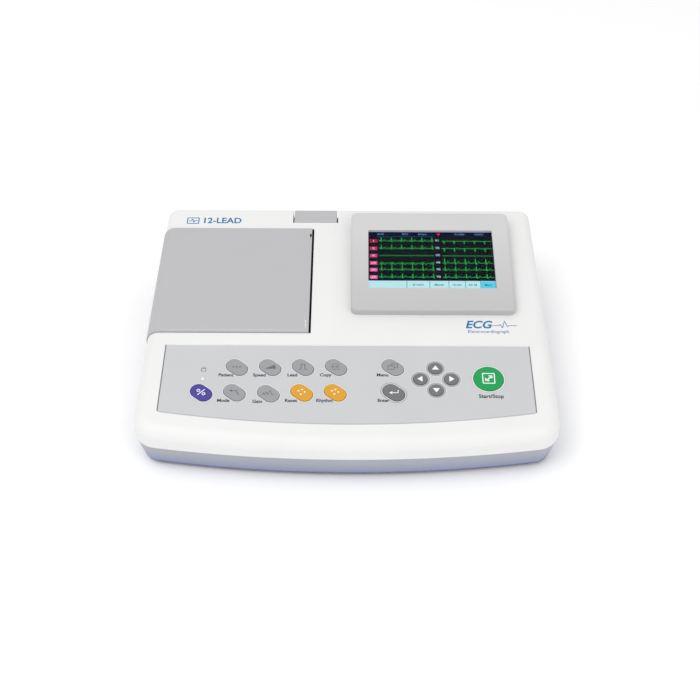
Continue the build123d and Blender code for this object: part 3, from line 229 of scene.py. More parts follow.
@dataclass
class Marks:
    """Ink on one sheet: bands, discs and closed outlines of one material."""

    sheet: Sheet
    height: float = PRINT_HEIGHT
    surface: Surface = field(default_factory=Surface)

    def band(self, path: np.ndarray, width: float | np.ndarray, at: tuple[float, float] = (0, 0)) -> None:
        """Draws a band along a path.

        Args:
            path: points (count, 2), relative to at.
            width: full width in millimetres.
            at: where the path's origin lies on the sheet.
        """
        flat = ribbon(path, width) + np.asarray(at, float)
        self.surface.add_grid(self.sheet.place(flat, self.height)[::-1])

    def disc(self, radius: float, at: tuple[float, float], inner: float = 0.0, squeeze: float = 1.0) -> None:
        """Draws a disc or a ring.

        Args:
            radius: outer radius.
            at: centre on the sheet.
            inner: inner radius.
            squeeze: height over width.
        """
        rim = ring(1.0) * (1.0, squeeze)
        grid = np.stack([rim * radius, rim * max(inner, radius * 0.02)]) + np.asarray(at, float)
        self.surface.add_grid(self.sheet.place(grid, self.height)[::-1, ::-1])

    def box(self, x0: float, x1: float, y0: float, y1: float) -> None:
        """Draws a filled rectangle.

        Args:
            x0: left side.
            x1: right side.
            y0: front side.
            y1: back side.
        """
        self.band(line((x0, (y0 + y1) / 2), (x1, (y0 + y1) / 2), steps=2), y1 - y0)

    def build(self, name: str, material: bpy.types.Material, body: str) -> bpy.types.Object:
        """Makes the object and lets it ride.

        Args:
            name: object name.
            material: ink.
            body: CAD body it moves with.

        Returns:
            The object.
        """
        obj = self.surface.build(name, material)
        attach(obj, body)
        return obj


def taper(width: float) -> np.ndarray:
    """Widths that bring one leg of a line to a point.

    Args:
        width: at the leg's start.

    Returns:
        Nine widths, w(t) = width + (POINT_WIDTH - width) t.
    """
    return np.linspace(width, POINT_WIDTH, 9)


def text_mark(
    words: str,
    size: float,
    at: tuple[float, float],
    sheet: Sheet,
    height: float,
    slant: float = 0.0,
    bold: float = 0.0,
) -> tuple[np.ndarray, np.ndarray]:
    """Outlines generic words as triangles on a sheet.

    Args:
        words: what is printed.
        size: letter height scale in millimetres.
        at: centre of the line on the sheet.
        sheet: the plane it is printed on.
        height: over the sheet, in millimetres.
        slant: lean of the letters.
        bold: widening of the strokes.

    Returns:
        Points (count, 3) in metres and triangles (count, 3).
    """
    curve = bpy.data.curves.new("words", "FONT")
    curve.body = words
    curve.size = size
    curve.shear = slant
    curve.offset = bold
    curve.align_x = "CENTER"
    curve.align_y = "CENTER"
    curve.resolution_u = 3
    holder = bpy.data.objects.new("words", curve)
    bpy.context.scene.collection.objects.link(holder)
    shown = holder.evaluated_get(bpy.context.evaluated_depsgraph_get())
    mesh = bpy.data.meshes.new_from_object(shown)
    flat = np.zeros(len(mesh.vertices) * 3)
    mesh.vertices.foreach_get("co", flat)
    mesh.calc_loop_triangles()
    corners = np.zeros(len(mesh.loop_triangles) * 3, np.int32)
    mesh.loop_triangles.foreach_get("vertices", corners)
    bpy.data.objects.remove(holder)
    bpy.data.curves.remove(curve)
    bpy.data.meshes.remove(mesh)
    spots = flat.reshape(-1, 3)[:, :2] + np.asarray(at, float)
    return sheet.place(spots, height), corners.reshape(-1, 3)


@dataclass
class Words:
    """Several generic labels gathered into one mesh."""

    sheet: Sheet
    height: float = PRINT_HEIGHT
    points: list[np.ndarray] = field(default_factory=list)
    faces: list[np.ndarray] = field(default_factory=list)
    count: int = 0

    def write(
        self, words: str, size: float, at: tuple[float, float], slant: float = 0.0, bold: float = 0.0
    ) -> None:
        """Adds one line of words.

        Args:
            words: what is printed.
            size: letter height scale in millimetres.
            at: centre of the line on the sheet.
            slant: lean of the letters.
            bold: widening of the strokes.
        """
        spots, corners = text_mark(words, size, at, self.sheet, self.height, slant, bold)
        self.points.append(spots)
        self.faces.append(corners + self.count)
        self.count += len(spots)

    def build(self, name: str, material: bpy.types.Material, body: str) -> bpy.types.Object:
        """Makes the object and lets it ride.

        Args:
            name: object name.
            material: ink.
            body: CAD body it moves with.

        Returns:
            The object.
        """
        mesh = bpy.data.meshes.new(name)
        points = np.concatenate(self.points)
        faces = np.concatenate(self.faces)
        mesh.from_pydata(points.tolist(), [], faces.tolist())
        mesh.validate()
        mesh.materials.append(material)
        obj = bpy.data.objects.new(name, mesh)
        bpy.context.scene.collection.objects.link(obj)
        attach(obj, body)
        return obj


# ---------------------------------------------------------------- finishes
class Grain(Enum):
    """Surface texture of a finish."""

    SMOOTH = 0.0
    FINE = 0.02
    SPARK = 0.05
    COARSE = 0.12


@dataclass(frozen=True)
class Finish:
    """A procedural finish on object coordinates.

    The colour drifts a little with a slow noise, the roughness with a middle one, and a fine noise bumps the
    surface. Brushed metals stretch the fine noise along one axis. A finish may carry painted shade: it may
    fade into a darker colour, and that into a darker painted shade line, between two heights in metres each.
    """

    name: str
    colour: Colour
    rough: float = 0.45
    metal: float = 0.0
    grain: Grain = Grain.FINE
    grain_scale: float = 2600.0
    drift: float = 0.03
    brushed: bool = False
    coat: float = 0.0
    specular: float = 0.4
    # painted shade: a darker colour faded in below a height
    painted_shade: Colour | None = None
    painted_shade_from: float = 0.004
    painted_shade_to: float = 0.020
    # painted shade line: a darker colour still, faded in nearer the table
    painted_shade_line: Colour | None = None
    painted_shade_line_from: float = 0.0042
    painted_shade_line_to: float = 0.0070

    def build(self) -> bpy.types.Material:
        """Makes the material.

        Returns:
            The node material.
        """
        made = bpy.data.materials.get(LOOK_PREFIX + self.name)
        if made:
            return made
        material = bpy.data.materials.new(LOOK_PREFIX + self.name)
        material.use_nodes = True
        nodes, links = material.node_tree.nodes, material.node_tree.links
        shader = nodes["Principled BSDF"]
        shader.inputs["Metallic"].default_value = self.metal
        shader.inputs["Specular IOR Level"].default_value = self.specular
        shader.inputs["Coat Weight"].default_value = self.coat
        shader.inputs["Coat Roughness"].default_value = 0.08
        spot = nodes.new("ShaderNodeTexCoord").outputs["Object"]
        slow = self.noise(nodes, links, spot, 26.0, 3.0)
        tint = nodes.new("ShaderNodeMix")
        tint.data_type = "RGBA"
        tint.inputs["A"].default_value = (*[c * (1 - self.drift) for c in self.colour], 1.0)
        tint.inputs["B"].default_value = (*[min(c * (1 + self.drift), 1.0) for c in self.colour], 1.0)
        links.new(slow, tint.inputs["Factor"])
        links.new(self.lowered(nodes, links, spot, tint.outputs["Result"]), shader.inputs["Base Color"])
        middle = self.noise(nodes, links, spot, 190.0, 2.0)
        spread = nodes.new("ShaderNodeMapRange")
        spread.inputs["To Min"].default_value = self.rough * 0.88
        spread.inputs["To Max"].default_value = min(self.rough * 1.12, 1.0)
        links.new(middle, spread.inputs["Value"])
        links.new(spread.outputs["Result"], shader.inputs["Roughness"])
        if self.grain is not Grain.SMOOTH:
            where = spot
            if self.brushed:
                stretch = nodes.new("ShaderNodeMapping")
                stretch.inputs["Scale"].default_value = (0.04, 1.0, 1.0)
                links.new(spot, stretch.inputs["Vector"])
                where = stretch.outputs["Vector"]
            bump = nodes.new("ShaderNodeBump")
            bump.inputs["Strength"].default_value = self.grain.value
            bump.inputs["Distance"].default_value = 0.0002
            links.new(self.noise(nodes, links, where, self.grain_scale, 2.0), bump.inputs["Height"])
            links.new(bump.outputs["Normal"], shader.inputs["Normal"])
        return material

    def lowered(
        self,
        nodes: bpy.types.Nodes,
        links: bpy.types.NodeLinks,
        spot: bpy.types.NodeSocket,
        colour: bpy.types.NodeSocket,
    ) -> bpy.types.NodeSocket:
        """Fades a colour into the painted shade colour, and that into the painted shade line colour, towards
        the table.

        Args:
            nodes: the tree's nodes.
            links: the tree's links.
            spot: object coordinates.
            colour: the colour above.

        Returns:
            The faded colour, or the colour itself where the finish has neither.
        """
        split = nodes.new("ShaderNodeSeparateXYZ")
        links.new(spot, split.inputs["Vector"])
        stages = ((self.painted_shade, self.painted_shade_from, self.painted_shade_to), (self.painted_shade_line, self.painted_shade_line_from, self.painted_shade_line_to))
        for shade, start, end in stages:
            if shade is None:
                continue
            height = nodes.new("ShaderNodeMapRange")
            height.inputs["From Min"].default_value = start
            height.inputs["From Max"].default_value = end
            links.new(split.outputs["Z"], height.inputs["Value"])
            fade = nodes.new("ShaderNodeMix")
            fade.data_type = "RGBA"
            fade.inputs["A"].default_value = (*shade, 1.0)
            links.new(height.outputs["Result"], fade.inputs["Factor"])
            links.new(colour, fade.inputs["B"])
            colour = fade.outputs["Result"]
        return colour

    @staticmethod
    def noise(
        nodes: bpy.types.Nodes,
        links: bpy.types.NodeLinks,
        spot: bpy.types.NodeSocket,
        scale: float,
        detail: float,
    ) -> bpy.types.NodeSocket:
        """Adds a noise texture.

        Args:
            nodes: the tree's nodes.
            links: the tree's links.
            spot: coordinates.
            scale: waves per metre.
            detail: octaves.

        Returns:
            The factor socket.
        """
        texture = nodes.new("ShaderNodeTexNoise")
        texture.inputs["Scale"].default_value = scale
        texture.inputs["Detail"].default_value = detail
        links.new(spot, texture.inputs["Vector"])
        return texture.outputs["Fac"]


@dataclass(frozen=True)
class Glow:
    """Light given off by the screen's picture, which varies a little from place to place."""

    name: str
    colour: Colour
    strength: float = 1.0

    def build(self) -> bpy.types.Material:
        """Makes the material: emission dimmed by noise so that flat areas are not one value.

        Returns:
            The node material.
        """
        material = bpy.data.materials.new(self.name)
        material.use_nodes = True
        nodes, links = material.node_tree.nodes, material.node_tree.links
        shader = nodes["Principled BSDF"]
        shader.inputs["Base Color"].default_value = (*[c * 0.1 for c in self.colour], 1.0)
        shader.inputs["Roughness"].default_value = 0.6
        shader.inputs["Specular IOR Level"].default_value = 0.0
        shader.inputs["Emission Strength"].default_value = self.strength
        spot = nodes.new("ShaderNodeTexCoord").outputs["Object"]
        drift = Finish.noise(nodes, links, spot, 900.0, 1.0)
        tint = nodes.new("ShaderNodeMix")
        tint.data_type = "RGBA"
        tint.inputs["A"].default_value = (*[c * 0.86 for c in self.colour], 1.0)
        tint.inputs["B"].default_value = (*[min(1.0, c * 1.1) for c in self.colour], 1.0)
        links.new(drift, tint.inputs["Factor"])
        links.new(tint.outputs["Result"], shader.inputs["Emission Color"])
        return material


@dataclass(frozen=True)
class Pane:
    """Clear window: see-through with a glossy face."""

    name: str
    clear: float = 0.97  # share of the light let through
    most: float = 0.2  # largest share of gloss, however flat the view

    def build(self) -> bpy.types.Material:
        """Makes the material: transparent mixed with gloss by Fresnel, gloss varied by a slow noise.

        Returns:
            The node material.
        """
        material = bpy.data.materials.new(self.name)
        material.use_nodes = True
        nodes, links = material.node_tree.nodes, material.node_tree.links
        nodes.clear()
        out = nodes.new("ShaderNodeOutputMaterial")
        mix = nodes.new("ShaderNodeMixShader")
        through = nodes.new("ShaderNodeBsdfTransparent")
        through.inputs["Color"].default_value = (self.clear, self.clear, self.clear, 1.0)
        gloss = nodes.new("ShaderNodeBsdfGlossy")
        spot = nodes.new("ShaderNodeTexCoord").outputs["Object"]
        spread = nodes.new("ShaderNodeMapRange")
        spread.inputs["To Min"].default_value = 0.06
        spread.inputs["To Max"].default_value = 0.12
        links.new(Finish.noise(nodes, links, spot, 60.0, 2.0), spread.inputs["Value"])
        links.new(spread.outputs["Result"], gloss.inputs["Roughness"])
        fresnel = nodes.new("ShaderNodeFresnel")
        fresnel.inputs["IOR"].default_value = 1.12
        limit = nodes.new("ShaderNodeMath")
        limit.operation = "MINIMUM"
        limit.inputs[1].default_value = self.most
        links.new(fresnel.outputs["Fac"], limit.inputs[0])
        links.new(limit.outputs["Value"], mix.inputs["Fac"])
        links.new(through.outputs["BSDF"], mix.inputs[1])
        links.new(gloss.outputs["BSDF"], mix.inputs[2])
        links.new(mix.outputs["Shader"], out.inputs["Surface"])
        return material


WHITE_PLASTIC = Finish("white_plastic", (0.745, 0.745, 0.74), rough=0.5, grain=Grain.SPARK)
# painted shade: the lower housing darkens towards the table, with a navy painted shade line along its bottom
# edge
BASE_PLASTIC = Finish(
    "base_plastic",
    (0.36, 0.375, 0.415),
    rough=0.5,
    grain=Grain.SPARK,
    painted_shade=(0.235, 0.265, 0.43),
    painted_shade_line=(0.03, 0.04, 0.16),
)
DOOR_PLASTIC = Finish("door_plastic", (0.44, 0.44, 0.45), rough=0.55, grain=Grain.COARSE)
# painted shade: the bezel darkens towards its low front edge
BEZEL_PLASTIC = Finish(
    "bezel_plastic",
    (0.56, 0.56, 0.565),
    rough=0.42,
    grain=Grain.SPARK,
    painted_shade=(0.46, 0.46, 0.465),
    painted_shade_from=0.066,
    painted_shade_to=0.082,
)
FILM = Finish("overlay_film", (0.525, 0.53, 0.54), rough=0.5, grain=Grain.SPARK, grain_scale=3500.0)
KEY_GREY = Finish("key_grey", (0.295, 0.298, 0.31), rough=0.5, grain=Grain.SPARK)
KEY_DARK = Finish("key_dark", (0.150, 0.153, 0.16), rough=0.5, grain=Grain.SPARK)
KEY_PURPLE = Finish("key_purple", (0.056, 0.045, 0.27), rough=0.45, grain=Grain.SPARK)
KEY_YELLOW = Finish("key_yellow", (0.64, 0.31, 0.014), rough=0.45, grain=Grain.SPARK)
KEY_GREEN = Finish("key_green", (0.0, 0.30, 0.075), rough=0.4, grain=Grain.SPARK)
BLACK_PLASTIC = Finish("black_plastic", (0.02, 0.02, 0.022), rough=0.5, grain=Grain.SPARK)
CHASSIS_PLASTIC = Finish("chassis_plastic", (0.05, 0.052, 0.058), rough=0.6, grain=Grain.COARSE)
RUBBER = Finish("rubber", (0.022, 0.022, 0.024), rough=0.8, grain=Grain.COARSE, grain_scale=1500.0)
PLATEN_RUBBER = Finish("platen_rubber", (0.035, 0.035, 0.038), rough=0.7, grain=Grain.COARSE)
STEEL = Finish("steel", (0.56, 0.57, 0.58), rough=0.32, metal=1.0, grain=Grain.SPARK, brushed=True)
SPRING_WIRE = Finish("spring_wire", (0.62, 0.62, 0.64), rough=0.2, metal=1.0, grain=Grain.FINE)
ZINC = Finish("zinc", (0.5, 0.5, 0.52), rough=0.35, metal=1.0, grain=Grain.SPARK, drift=0.08)
BRASS = Finish("brass", (0.68, 0.5, 0.2), rough=0.3, metal=1.0, grain=Grain.SPARK)
ALUMINIUM = Finish("aluminium", (0.64, 0.65, 0.66), rough=0.35, metal=1.0, grain=Grain.SPARK, brushed=True)
CERAMIC = Finish("ceramic", (0.62, 0.58, 0.5), rough=0.2, grain=Grain.FINE, coat=0.4)
GEAR_PLASTIC = Finish("gear_plastic", (0.66, 0.62, 0.5), rough=0.45, grain=Grain.FINE)
BOARD = Finish("circuit_board", (0.015, 0.12, 0.045), rough=0.35, grain=Grain.SPARK, drift=0.25, coat=0.3)
BATTERY_WRAP = Finish("battery_wrap", (0.02, 0.06, 0.22), rough=0.25, grain=Grain.FINE, coat=0.4)
SCREEN = Finish("screen_glass", (0.004, 0.006, 0.012), rough=0.25, grain=Grain.FINE)
LENS = Finish("lens", (0.85, 0.86, 0.88), rough=0.2, grain=Grain.FINE, coat=0.5)
WHITE_INK = Finish("white_ink", (0.87, 0.87, 0.87), rough=0.5, grain=Grain.FINE)
# painted highlight on the rims round the keys
PAINTED_RIM_HIGHLIGHT = Finish("painted_rim_highlight", (0.72, 0.725, 0.73), rough=0.5, grain=Grain.FINE)
DARK_INK = Finish("dark_ink", (0.018, 0.02, 0.06), rough=0.5, grain=Grain.FINE)
# painted shade along the overlay's edge and round the start key's rim
PAINTED_EDGE_SHADE = Finish("painted_edge_shade", (0.40, 0.41, 0.43), rough=0.5, grain=Grain.FINE)
BLUE_INK = Finish("blue_ink", (0.008, 0.16, 0.36), rough=0.45, grain=Grain.FINE)
# painted shadow down the overlay's sides
PAINTED_SIDE_SHADOW = Finish("painted_side_shadow", (0.16, 0.16, 0.17), rough=0.5, grain=Grain.FINE)
RING_INK = Finish("ring_ink", (0.36, 0.365, 0.38), rough=0.5, grain=Grain.FINE)
# black of the door's catch, and painted shade in the door's gap and the paper slot
DOOR_CATCH_AND_GAP_SHADE = Finish("door_catch_and_painted_gap_shade", (0.006, 0.006, 0.007), rough=0.9, grain=Grain.COARSE, specular=0.1)
# painted highlight on the door's rounded front edge
DOOR_FRONT_HIGHLIGHT = Finish("door_painted_highlight", (0.52, 0.52, 0.53), rough=0.5, grain=Grain.FINE)
ACTIVE_INK = Finish("grey_ink", (0.13, 0.13, 0.14), rough=0.5, grain=Grain.FINE)

NODE_FINISH: dict[str, Finish] = {
    "upper_housing": WHITE_PLASTIC,
    "lower_housing": BASE_PLASTIC,
    "battery_cover": BASE_PLASTIC,
    "battery_pack": BATTERY_WRAP,
    "rubber_feet": RUBBER,
    "speaker": BLACK_PLASTIC,
    "keypad_overlay": FILM,
    "keypad_board": BOARD,
    "key_domes": SPRING_WIRE,
    "status_led": LENS,
    "display_bezel": BEZEL_PLASTIC,
    "lcd_panel": SCREEN,
    "display_board": BOARD,
    "paper_door": DOOR_PLASTIC,
    "hinge_pin": STEEL,
    "platen_shaft": STEEL,
    "platen_roller": PLATEN_RUBBER,
    "platen_bushes": BRASS,
    "platen_gear": GEAR_PLASTIC,
    "idler_gear": GEAR_PLASTIC,
    "idler_axle": STEEL,
    "motor_pinion": BRASS,
    "motor_shaft": STEEL,
    "feed_motor": STEEL,
    "recorder_chassis": CHASSIS_PLASTIC,
    "print_head": CERAMIC,
    "head_bracket": ALUMINIUM,
    "head_springs": SPRING_WIRE,
    "release_tab": DOOR_PLASTIC,
    "tab_springs": SPRING_WIRE,
    "latch_bar": BLACK_PLASTIC,
    "latch_spring": SPRING_WIRE,
    "main_board": BOARD,
    "power_supply_board": BOARD,
    "network_socket": STEEL,
    "usb_socket": STEEL,
    "mains_inlet": BLACK_PLASTIC,
    "earth_terminal": BRASS,
    "ecg_socket": STEEL,
    "case_screws": ZINC,
    "board_screws": ZINC,
    "panel_screws": ZINC,
    "cover_screws": ZINC,
    "key_power": KEY_PURPLE,
    "key_start_stop": KEY_GREEN,
    "key_gain": KEY_GREY,
    "key_reset": KEY_YELLOW,
    "key_rhythm": KEY_YELLOW,
    "key_menu": KEY_GREY,
    "key_enter": KEY_DARK,
    "key_up": KEY_DARK,
    "key_down": KEY_DARK,
    "key_left": KEY_DARK,
    "key_right": KEY_DARK,
    "key_patient": KEY_GREY,
    "key_speed": KEY_GREY,
    "key_lead": KEY_GREY,
    "key_copy": KEY_GREY,
    "key_mode": KEY_GREY,
}


# ---------------------------------------------------------------- keypad
@dataclass(frozen=True)
class KeypadSizes:
    """Sizes of the keypad in millimetres, on the deck's sheet."""

    key_length: float = 18.6
    key_width: float = 12.5
    key_turn: float = -38.0
    key_top: float = 0.9
    arrow_radius: float = 5.4
    start_radius: float = 11.75
    # halo: width of the painted rim highlight round each oblong key
    halo: float = 0.55
    gap: float = 0.35
    clear: float = 0.1  # film left bare between a key's gap and the marks round it: painted rim highlights and printed rings
    arrow_ring: float = 1.9  # outer edge of an arrow key's grey ring, from the gap
    arrow_halo: float = 2.3  # outer edge of its painted rim highlight
    enter_ring: float = 1.5  # width of the enter key's grey ring
    start_halo: float = 0.95  # outer edge of the start key's painted rim highlight
    start_shade: float = 1.3  # outer edge of the painted shade round it
    # overlay edge: painted shade along it, painted shadow down its sides, painted highlight along its back
    edge_inset: float = 0.5
    border_width: float = 0.45
    side_shadow_width: float = 0.7
    back_highlight_width: float = 0.5
    back_highlight_rise: float = 0.2
    label_size: float = 4.2
    label_bold: float = 0.12
    label_shift: tuple[float, float] = (-8.2, -7.6)
    start_label_size: float = 4.8
    start_label_bold: float = 0.13
    start_label_shift: tuple[float, float] = (1.0, -17.0)
    plug_rise: float = 9.4  # plug symbol over the status light
    plug_line: float = 0.5
    light_radius: float = 1.25
    light_top: float = 0.25
    half: float = 147.0
    back: float = 96.6
    corner: float = 30.2
    front: float = 19.0


class Keypad:
    """The printed overlay, its painted highlights and painted shade, and the symbols on the keys."""

    oblong = {
        "key_power": (-114.0, 48.4),
        "key_patient": (-87.7, 73.5),
        "key_speed": (-61.2, 73.6),
        "key_lead": (-35.1, 73.8),
        "key_copy": (-8.8, 74.0),
        "key_mode": (-88.0, 48.6),
        "key_gain": (-61.4, 47.8),
        "key_reset": (-35.3, 48.8),
        "key_rhythm": (-9.1, 49.0),
        "key_menu": (36.3, 74.2),
        "key_enter": (36.7, 49.3),
    }
    arrows = {
        "key_up": (70.1, 73.3, 90.0),
        "key_down": (70.1, 51.7, -90.0),
        "key_left": (57.9, 62.5, 180.0),
        "key_right": (82.3, 62.5, 0.0),
    }
    start = (111.7, 63.2)
    led = (-113.9, 61.8)
    labels = {
        "key_patient": "Patient",
        "key_speed": "Speed",
        "key_lead": "Lead",
        "key_copy": "Copy",
        "key_mode": "Mode",
        "key_gain": "Gain",
        "key_reset": "Reset",
        "key_rhythm": "Rhythm",
        "key_menu": "Menu",
        "key_enter": "Enter",
    }

    def __init__(self, sizes: KeypadSizes) -> None:
        """Keeps the sizes.

        Args:
            sizes: of the keypad.
        """
        self.sizes = sizes

    def halos(self) -> None:
        """Painted highlights on the rims round the keys, grey printed rings round the arrows and enter, and
        painted shade round the start key's rim.
        """
        size = self.sizes
        # painted highlight: pale rims round the keys where their rims catch the light
        inks = Marks(DECK)
        grow = size.gap + size.halo / 2 + size.clear / 2
        rim = slot(size.key_length + 2 * grow, size.key_width + 2 * grow, size.key_turn)
        for place in self.oblong.values():
            inks.band(rim, size.halo, place)
        arrow = size.arrow_radius + size.gap
        for x, y, _ in self.arrows.values():
            inks.disc(arrow + size.arrow_halo, (x, y), arrow + size.arrow_ring)
        start = size.start_radius + size.gap
        inks.disc(start + size.start_halo, self.start, start + size.clear)
        inks.build("key_rim_highlights", PAINTED_RIM_HIGHLIGHT.build(), "case")
        rings = Marks(DECK, PRINT_HEIGHT / 2)
        for x, y, _ in self.arrows.values():
            rings.disc(arrow + size.arrow_ring, (x, y), arrow + size.clear)
        grow = 2 * size.gap + size.enter_ring + size.clear
        enter = slot(size.key_length + grow, size.key_width + grow, size.key_turn)
        rings.band(enter, size.enter_ring, self.oblong["key_enter"])
        rings.build("key_rings", RING_INK.build(), "case")
        # painted shade: a darker ring outside the start key's rim highlight
        shade = Marks(DECK, PRINT_HEIGHT / 2)
        shade.disc(start + size.start_shade, self.start, start + size.start_halo)
        shade.build("start_rim_shade", PAINTED_EDGE_SHADE.build(), "case")
        LOG.info("key halos")

    def edge_light_and_shade(self) -> None:
        """Painted shade as a thin darker line along the overlay's edge, bowed in front like the overlay, with
        painted shadow lines down its sides and a painted highlight line along its back.

        The bow is y(x) = front + r - sqrt(r^2 - x^2), with r from its half width and rise.
        """
        size = self.sizes
        inset = size.edge_inset
        half, back = size.half - inset, size.back - inset
        corner, front = size.corner + inset, size.front + inset
        across = np.linspace(-half, half, 81)
        rise = corner - front
        radius = (half**2 + rise**2) / (2 * rise)
        bow = np.stack([across, front + radius - np.sqrt(radius**2 - across**2)], axis=1)
        sides_and_back = line((half, corner), (half, back), (-half, back), (-half, corner), steps=20)
        # painted shade: a thin darker line along the overlay's edge
        inks = Marks(DECK, PRINT_HEIGHT / 2)
        inks.band(np.concatenate([bow, sides_and_back[1:]]), size.border_width)
        inks.build("overlay_edge_shade", PAINTED_EDGE_SHADE.build(), "case")
        # painted shadow: dark lines down the overlay's sides
        side_shadows = Marks(DECK, PRINT_HEIGHT)
        for end in (-half, half):
            side_shadows.band(line((end, corner), (end, back), steps=20), size.side_shadow_width)
        side_shadows.build("overlay_side_shadows", PAINTED_SIDE_SHADOW.build(), "case")
        # painted highlight: a white line along the overlay's back edge
        back_highlight = Marks(DECK, PRINT_HEIGHT)
        behind = back + size.back_highlight_rise
        back_highlight.band(line((-half, behind), (half, behind), steps=40), size.back_highlight_width)
        back_highlight.build("overlay_back_highlight", WHITE_INK.build(), "case")
        LOG.info("overlay border")

    def words(self) -> None:
        """Small generic labels at the lower left of each key."""
        size = self.sizes
        words = Words(DECK)
        for name, label in self.labels.items():
            (x, y), (right, up) = self.oblong[name], size.label_shift
            words.write(label, size.label_size, (x + right, y + up), bold=size.label_bold)
        (x, y), (right, up) = self.start, size.start_label_shift
        words.write("Start/Stop", size.start_label_size, (x + right, y + up), bold=size.start_label_bold)
        words.build("key_labels", DARK_INK.build(), "case")
        LOG.info("key labels")

    def mains_mark(self) -> None:
        """Small mains plug symbol over the status light, and the light."""
        size = self.sizes
        inks = Marks(DECK)
        at = (self.led[0], self.led[1] + size.plug_rise)
        body = line((-1.8, -1.5), (1.8, -1.5), (1.8, 1.2), (-1.8, 1.2), (-1.8, -1.5))
        inks.band(body, size.plug_line, at)
        for pin in (-0.8, 0.8):
            inks.band(line((pin, 1.2), (pin, 2.9)), size.plug_line, at)
        inks.build("mains_mark", ACTIVE_INK.build(), "case")
        light = Marks(DECK, size.light_top)
        light.disc(size.light_radius, self.led)
        light.build("status_light", Glow("status_glow", (0.9, 0.95, 1.0), 0.9).build(), "case")
        LOG.info("mains mark and status light")

    def on_key(
        self,
        key: str,
        at: tuple[float, float],
        draw: list[tuple[np.ndarray, float | np.ndarray]],
        ink: Finish,
        turn: float = 0.0,
    ) -> None:
        """Draws a symbol on a key.

        Args:
            key: its CAD node.
            at: centre of the key.
            draw: bands as (path, width).
            ink: the symbol's finish.
            turn: angle in degrees.
        """
        marks = Marks(DECK, self.sizes.key_top + PRINT_HEIGHT)
        for path, width in draw:
            marks.band(rotate(path, turn), width, at)
        marks.build(f"{key}_symbol", ink.build(), f"{key}_body")

    def symbols(self) -> None:
        """All the key symbols."""
        bead = [(ring(0.35, steps=16) + (x, 0), 0.7) for x in (-2.6, 0, 2.6)]
        self.on_key("key_patient", self.oblong["key_patient"], bead, ACTIVE_INK)
        ramp = [(line((-4.2, -1.8), (4.2, 0.2), steps=6), np.linspace(0.1, 4.2, 7))]
        self.on_key("key_speed", self.oblong["key_speed"], ramp, ACTIVE_INK)
        pulse = line((-3.4, -2.4), (-1.5, -2.4), (-1.5, 2.6), (1.5, 2.6), (1.5, -2.4), (3.4, -2.4), steps=12)
        self.on_key("key_lead", self.oblong["key_lead"], [(pulse, 0.6)], ACTIVE_INK)
        page = [
            (line((-2.6, -2.8), (2.2, -2.8), (2.2, 2.8), (-2.6, 2.8), (-2.6, -2.8), steps=12), 0.35),
            (line((-4.4, 0), (0.6, 0)), 0.4),
            (line((0.2, 0), (1.6, 0)), taper(2.2)),
        ]
        self.on_key("key_copy", self.oblong["key_copy"], page, ACTIVE_INK)
        bend = [
            (line((3.6, -2.8), (1.4, 1.4), (-2.8, 1.4), steps=10), 0.6),
            (line((-2.0, 1.4), (-4.0, 1.4)), taper(2.4)),
        ]
        self.on_key("key_mode", self.oblong["key_mode"], bend, ACTIVE_INK)
        peaks = ((-3.8, 0.2), (-3.0, -1.6), (-1.6, 1.2), (-0.4, -1.6), (1.4, 2.6), (3.0, -1.6))
        growing = line((-4.4, -1.6), *peaks, (4.6, -1.6), steps=6)
        self.on_key("key_gain", self.oblong["key_gain"], [(growing, 0.5)], ACTIVE_INK)
        spots = ((-2.6, 1.3), (0.2, 2.5), (2.4, 0.2), (-0.6, -1.9))
        gem = np.array([0.065, 1.69, 0.065])
        gems = [(line((x - 0.9, y), (x, y), (x + 0.9, y), steps=1), gem) for x, y in spots]
        for key in ("key_reset", "key_rhythm"):
            self.on_key(key, self.oblong[key], gems, WHITE_INK)
        slash = [
            (line((-2.6, -2.6), (2.6, 2.6)), 0.7),
            (ring(1.1, steps=24) + (-2.1, 1.6), 0.6),
            (ring(1.1, steps=24) + (2.1, -1.6), 0.6),
        ]
        self.on_key("key_power", self.oblong["key_power"], slash, WHITE_INK)
        panes = [
            (line((-3.8, -2.6), (1.0, -2.6), (1.0, 1.2), (-3.8, 1.2), (-3.8, -2.6), steps=12), 0.5),
            (line((-1.2, 1.2), (-1.2, 3.0), (3.8, 3.0), (3.8, -0.8), (1.0, -0.8), steps=12), 0.5),
        ]
        self.on_key("key_menu", self.oblong["key_menu"], panes, ACTIVE_INK)
        back = [
            (line((3.4, 2.0), (3.4, -0.6), (-1.6, -0.6), steps=10), 0.6),
            (line((-1.2, -0.6), (-3.6, -0.6)), taper(2.8)),
        ]
        self.on_key("key_enter", self.oblong["key_enter"], back, WHITE_INK)
        point = [(line((-1.6, 0), (2.4, 0)), taper(5.4))]
        for key, (x, y, turn) in self.arrows.items():
            self.on_key(key, (x, y), point, WHITE_INK, turn)
        sheet = [
            (line((-4.6, -4.8), (4.6, -4.8), (4.6, 4.8), (-4.6, 4.8), (-4.6, -4.8), steps=14), 0.8),
            (line((-2.2, -2.6), (2.4, 2.0)), 1.0),
            (line((2.6, 0.0), (2.6, 2.4), (0.0, 2.4), steps=8), 0.9),
            (line((-2.4, 0.4), (-2.4, -2.4), (0.4, -2.4), steps=8), 0.9),
        ]
        self.on_key("key_start_stop", self.start, sheet, WHITE_INK)
        LOG.info("key symbols")

    def build(self) -> None:
        """Builds every printed piece of the keypad, with its painted highlights and painted shade."""
        self.halos()
        self.edge_light_and_shade()
        self.words()
        self.mains_mark()
        self.symbols()


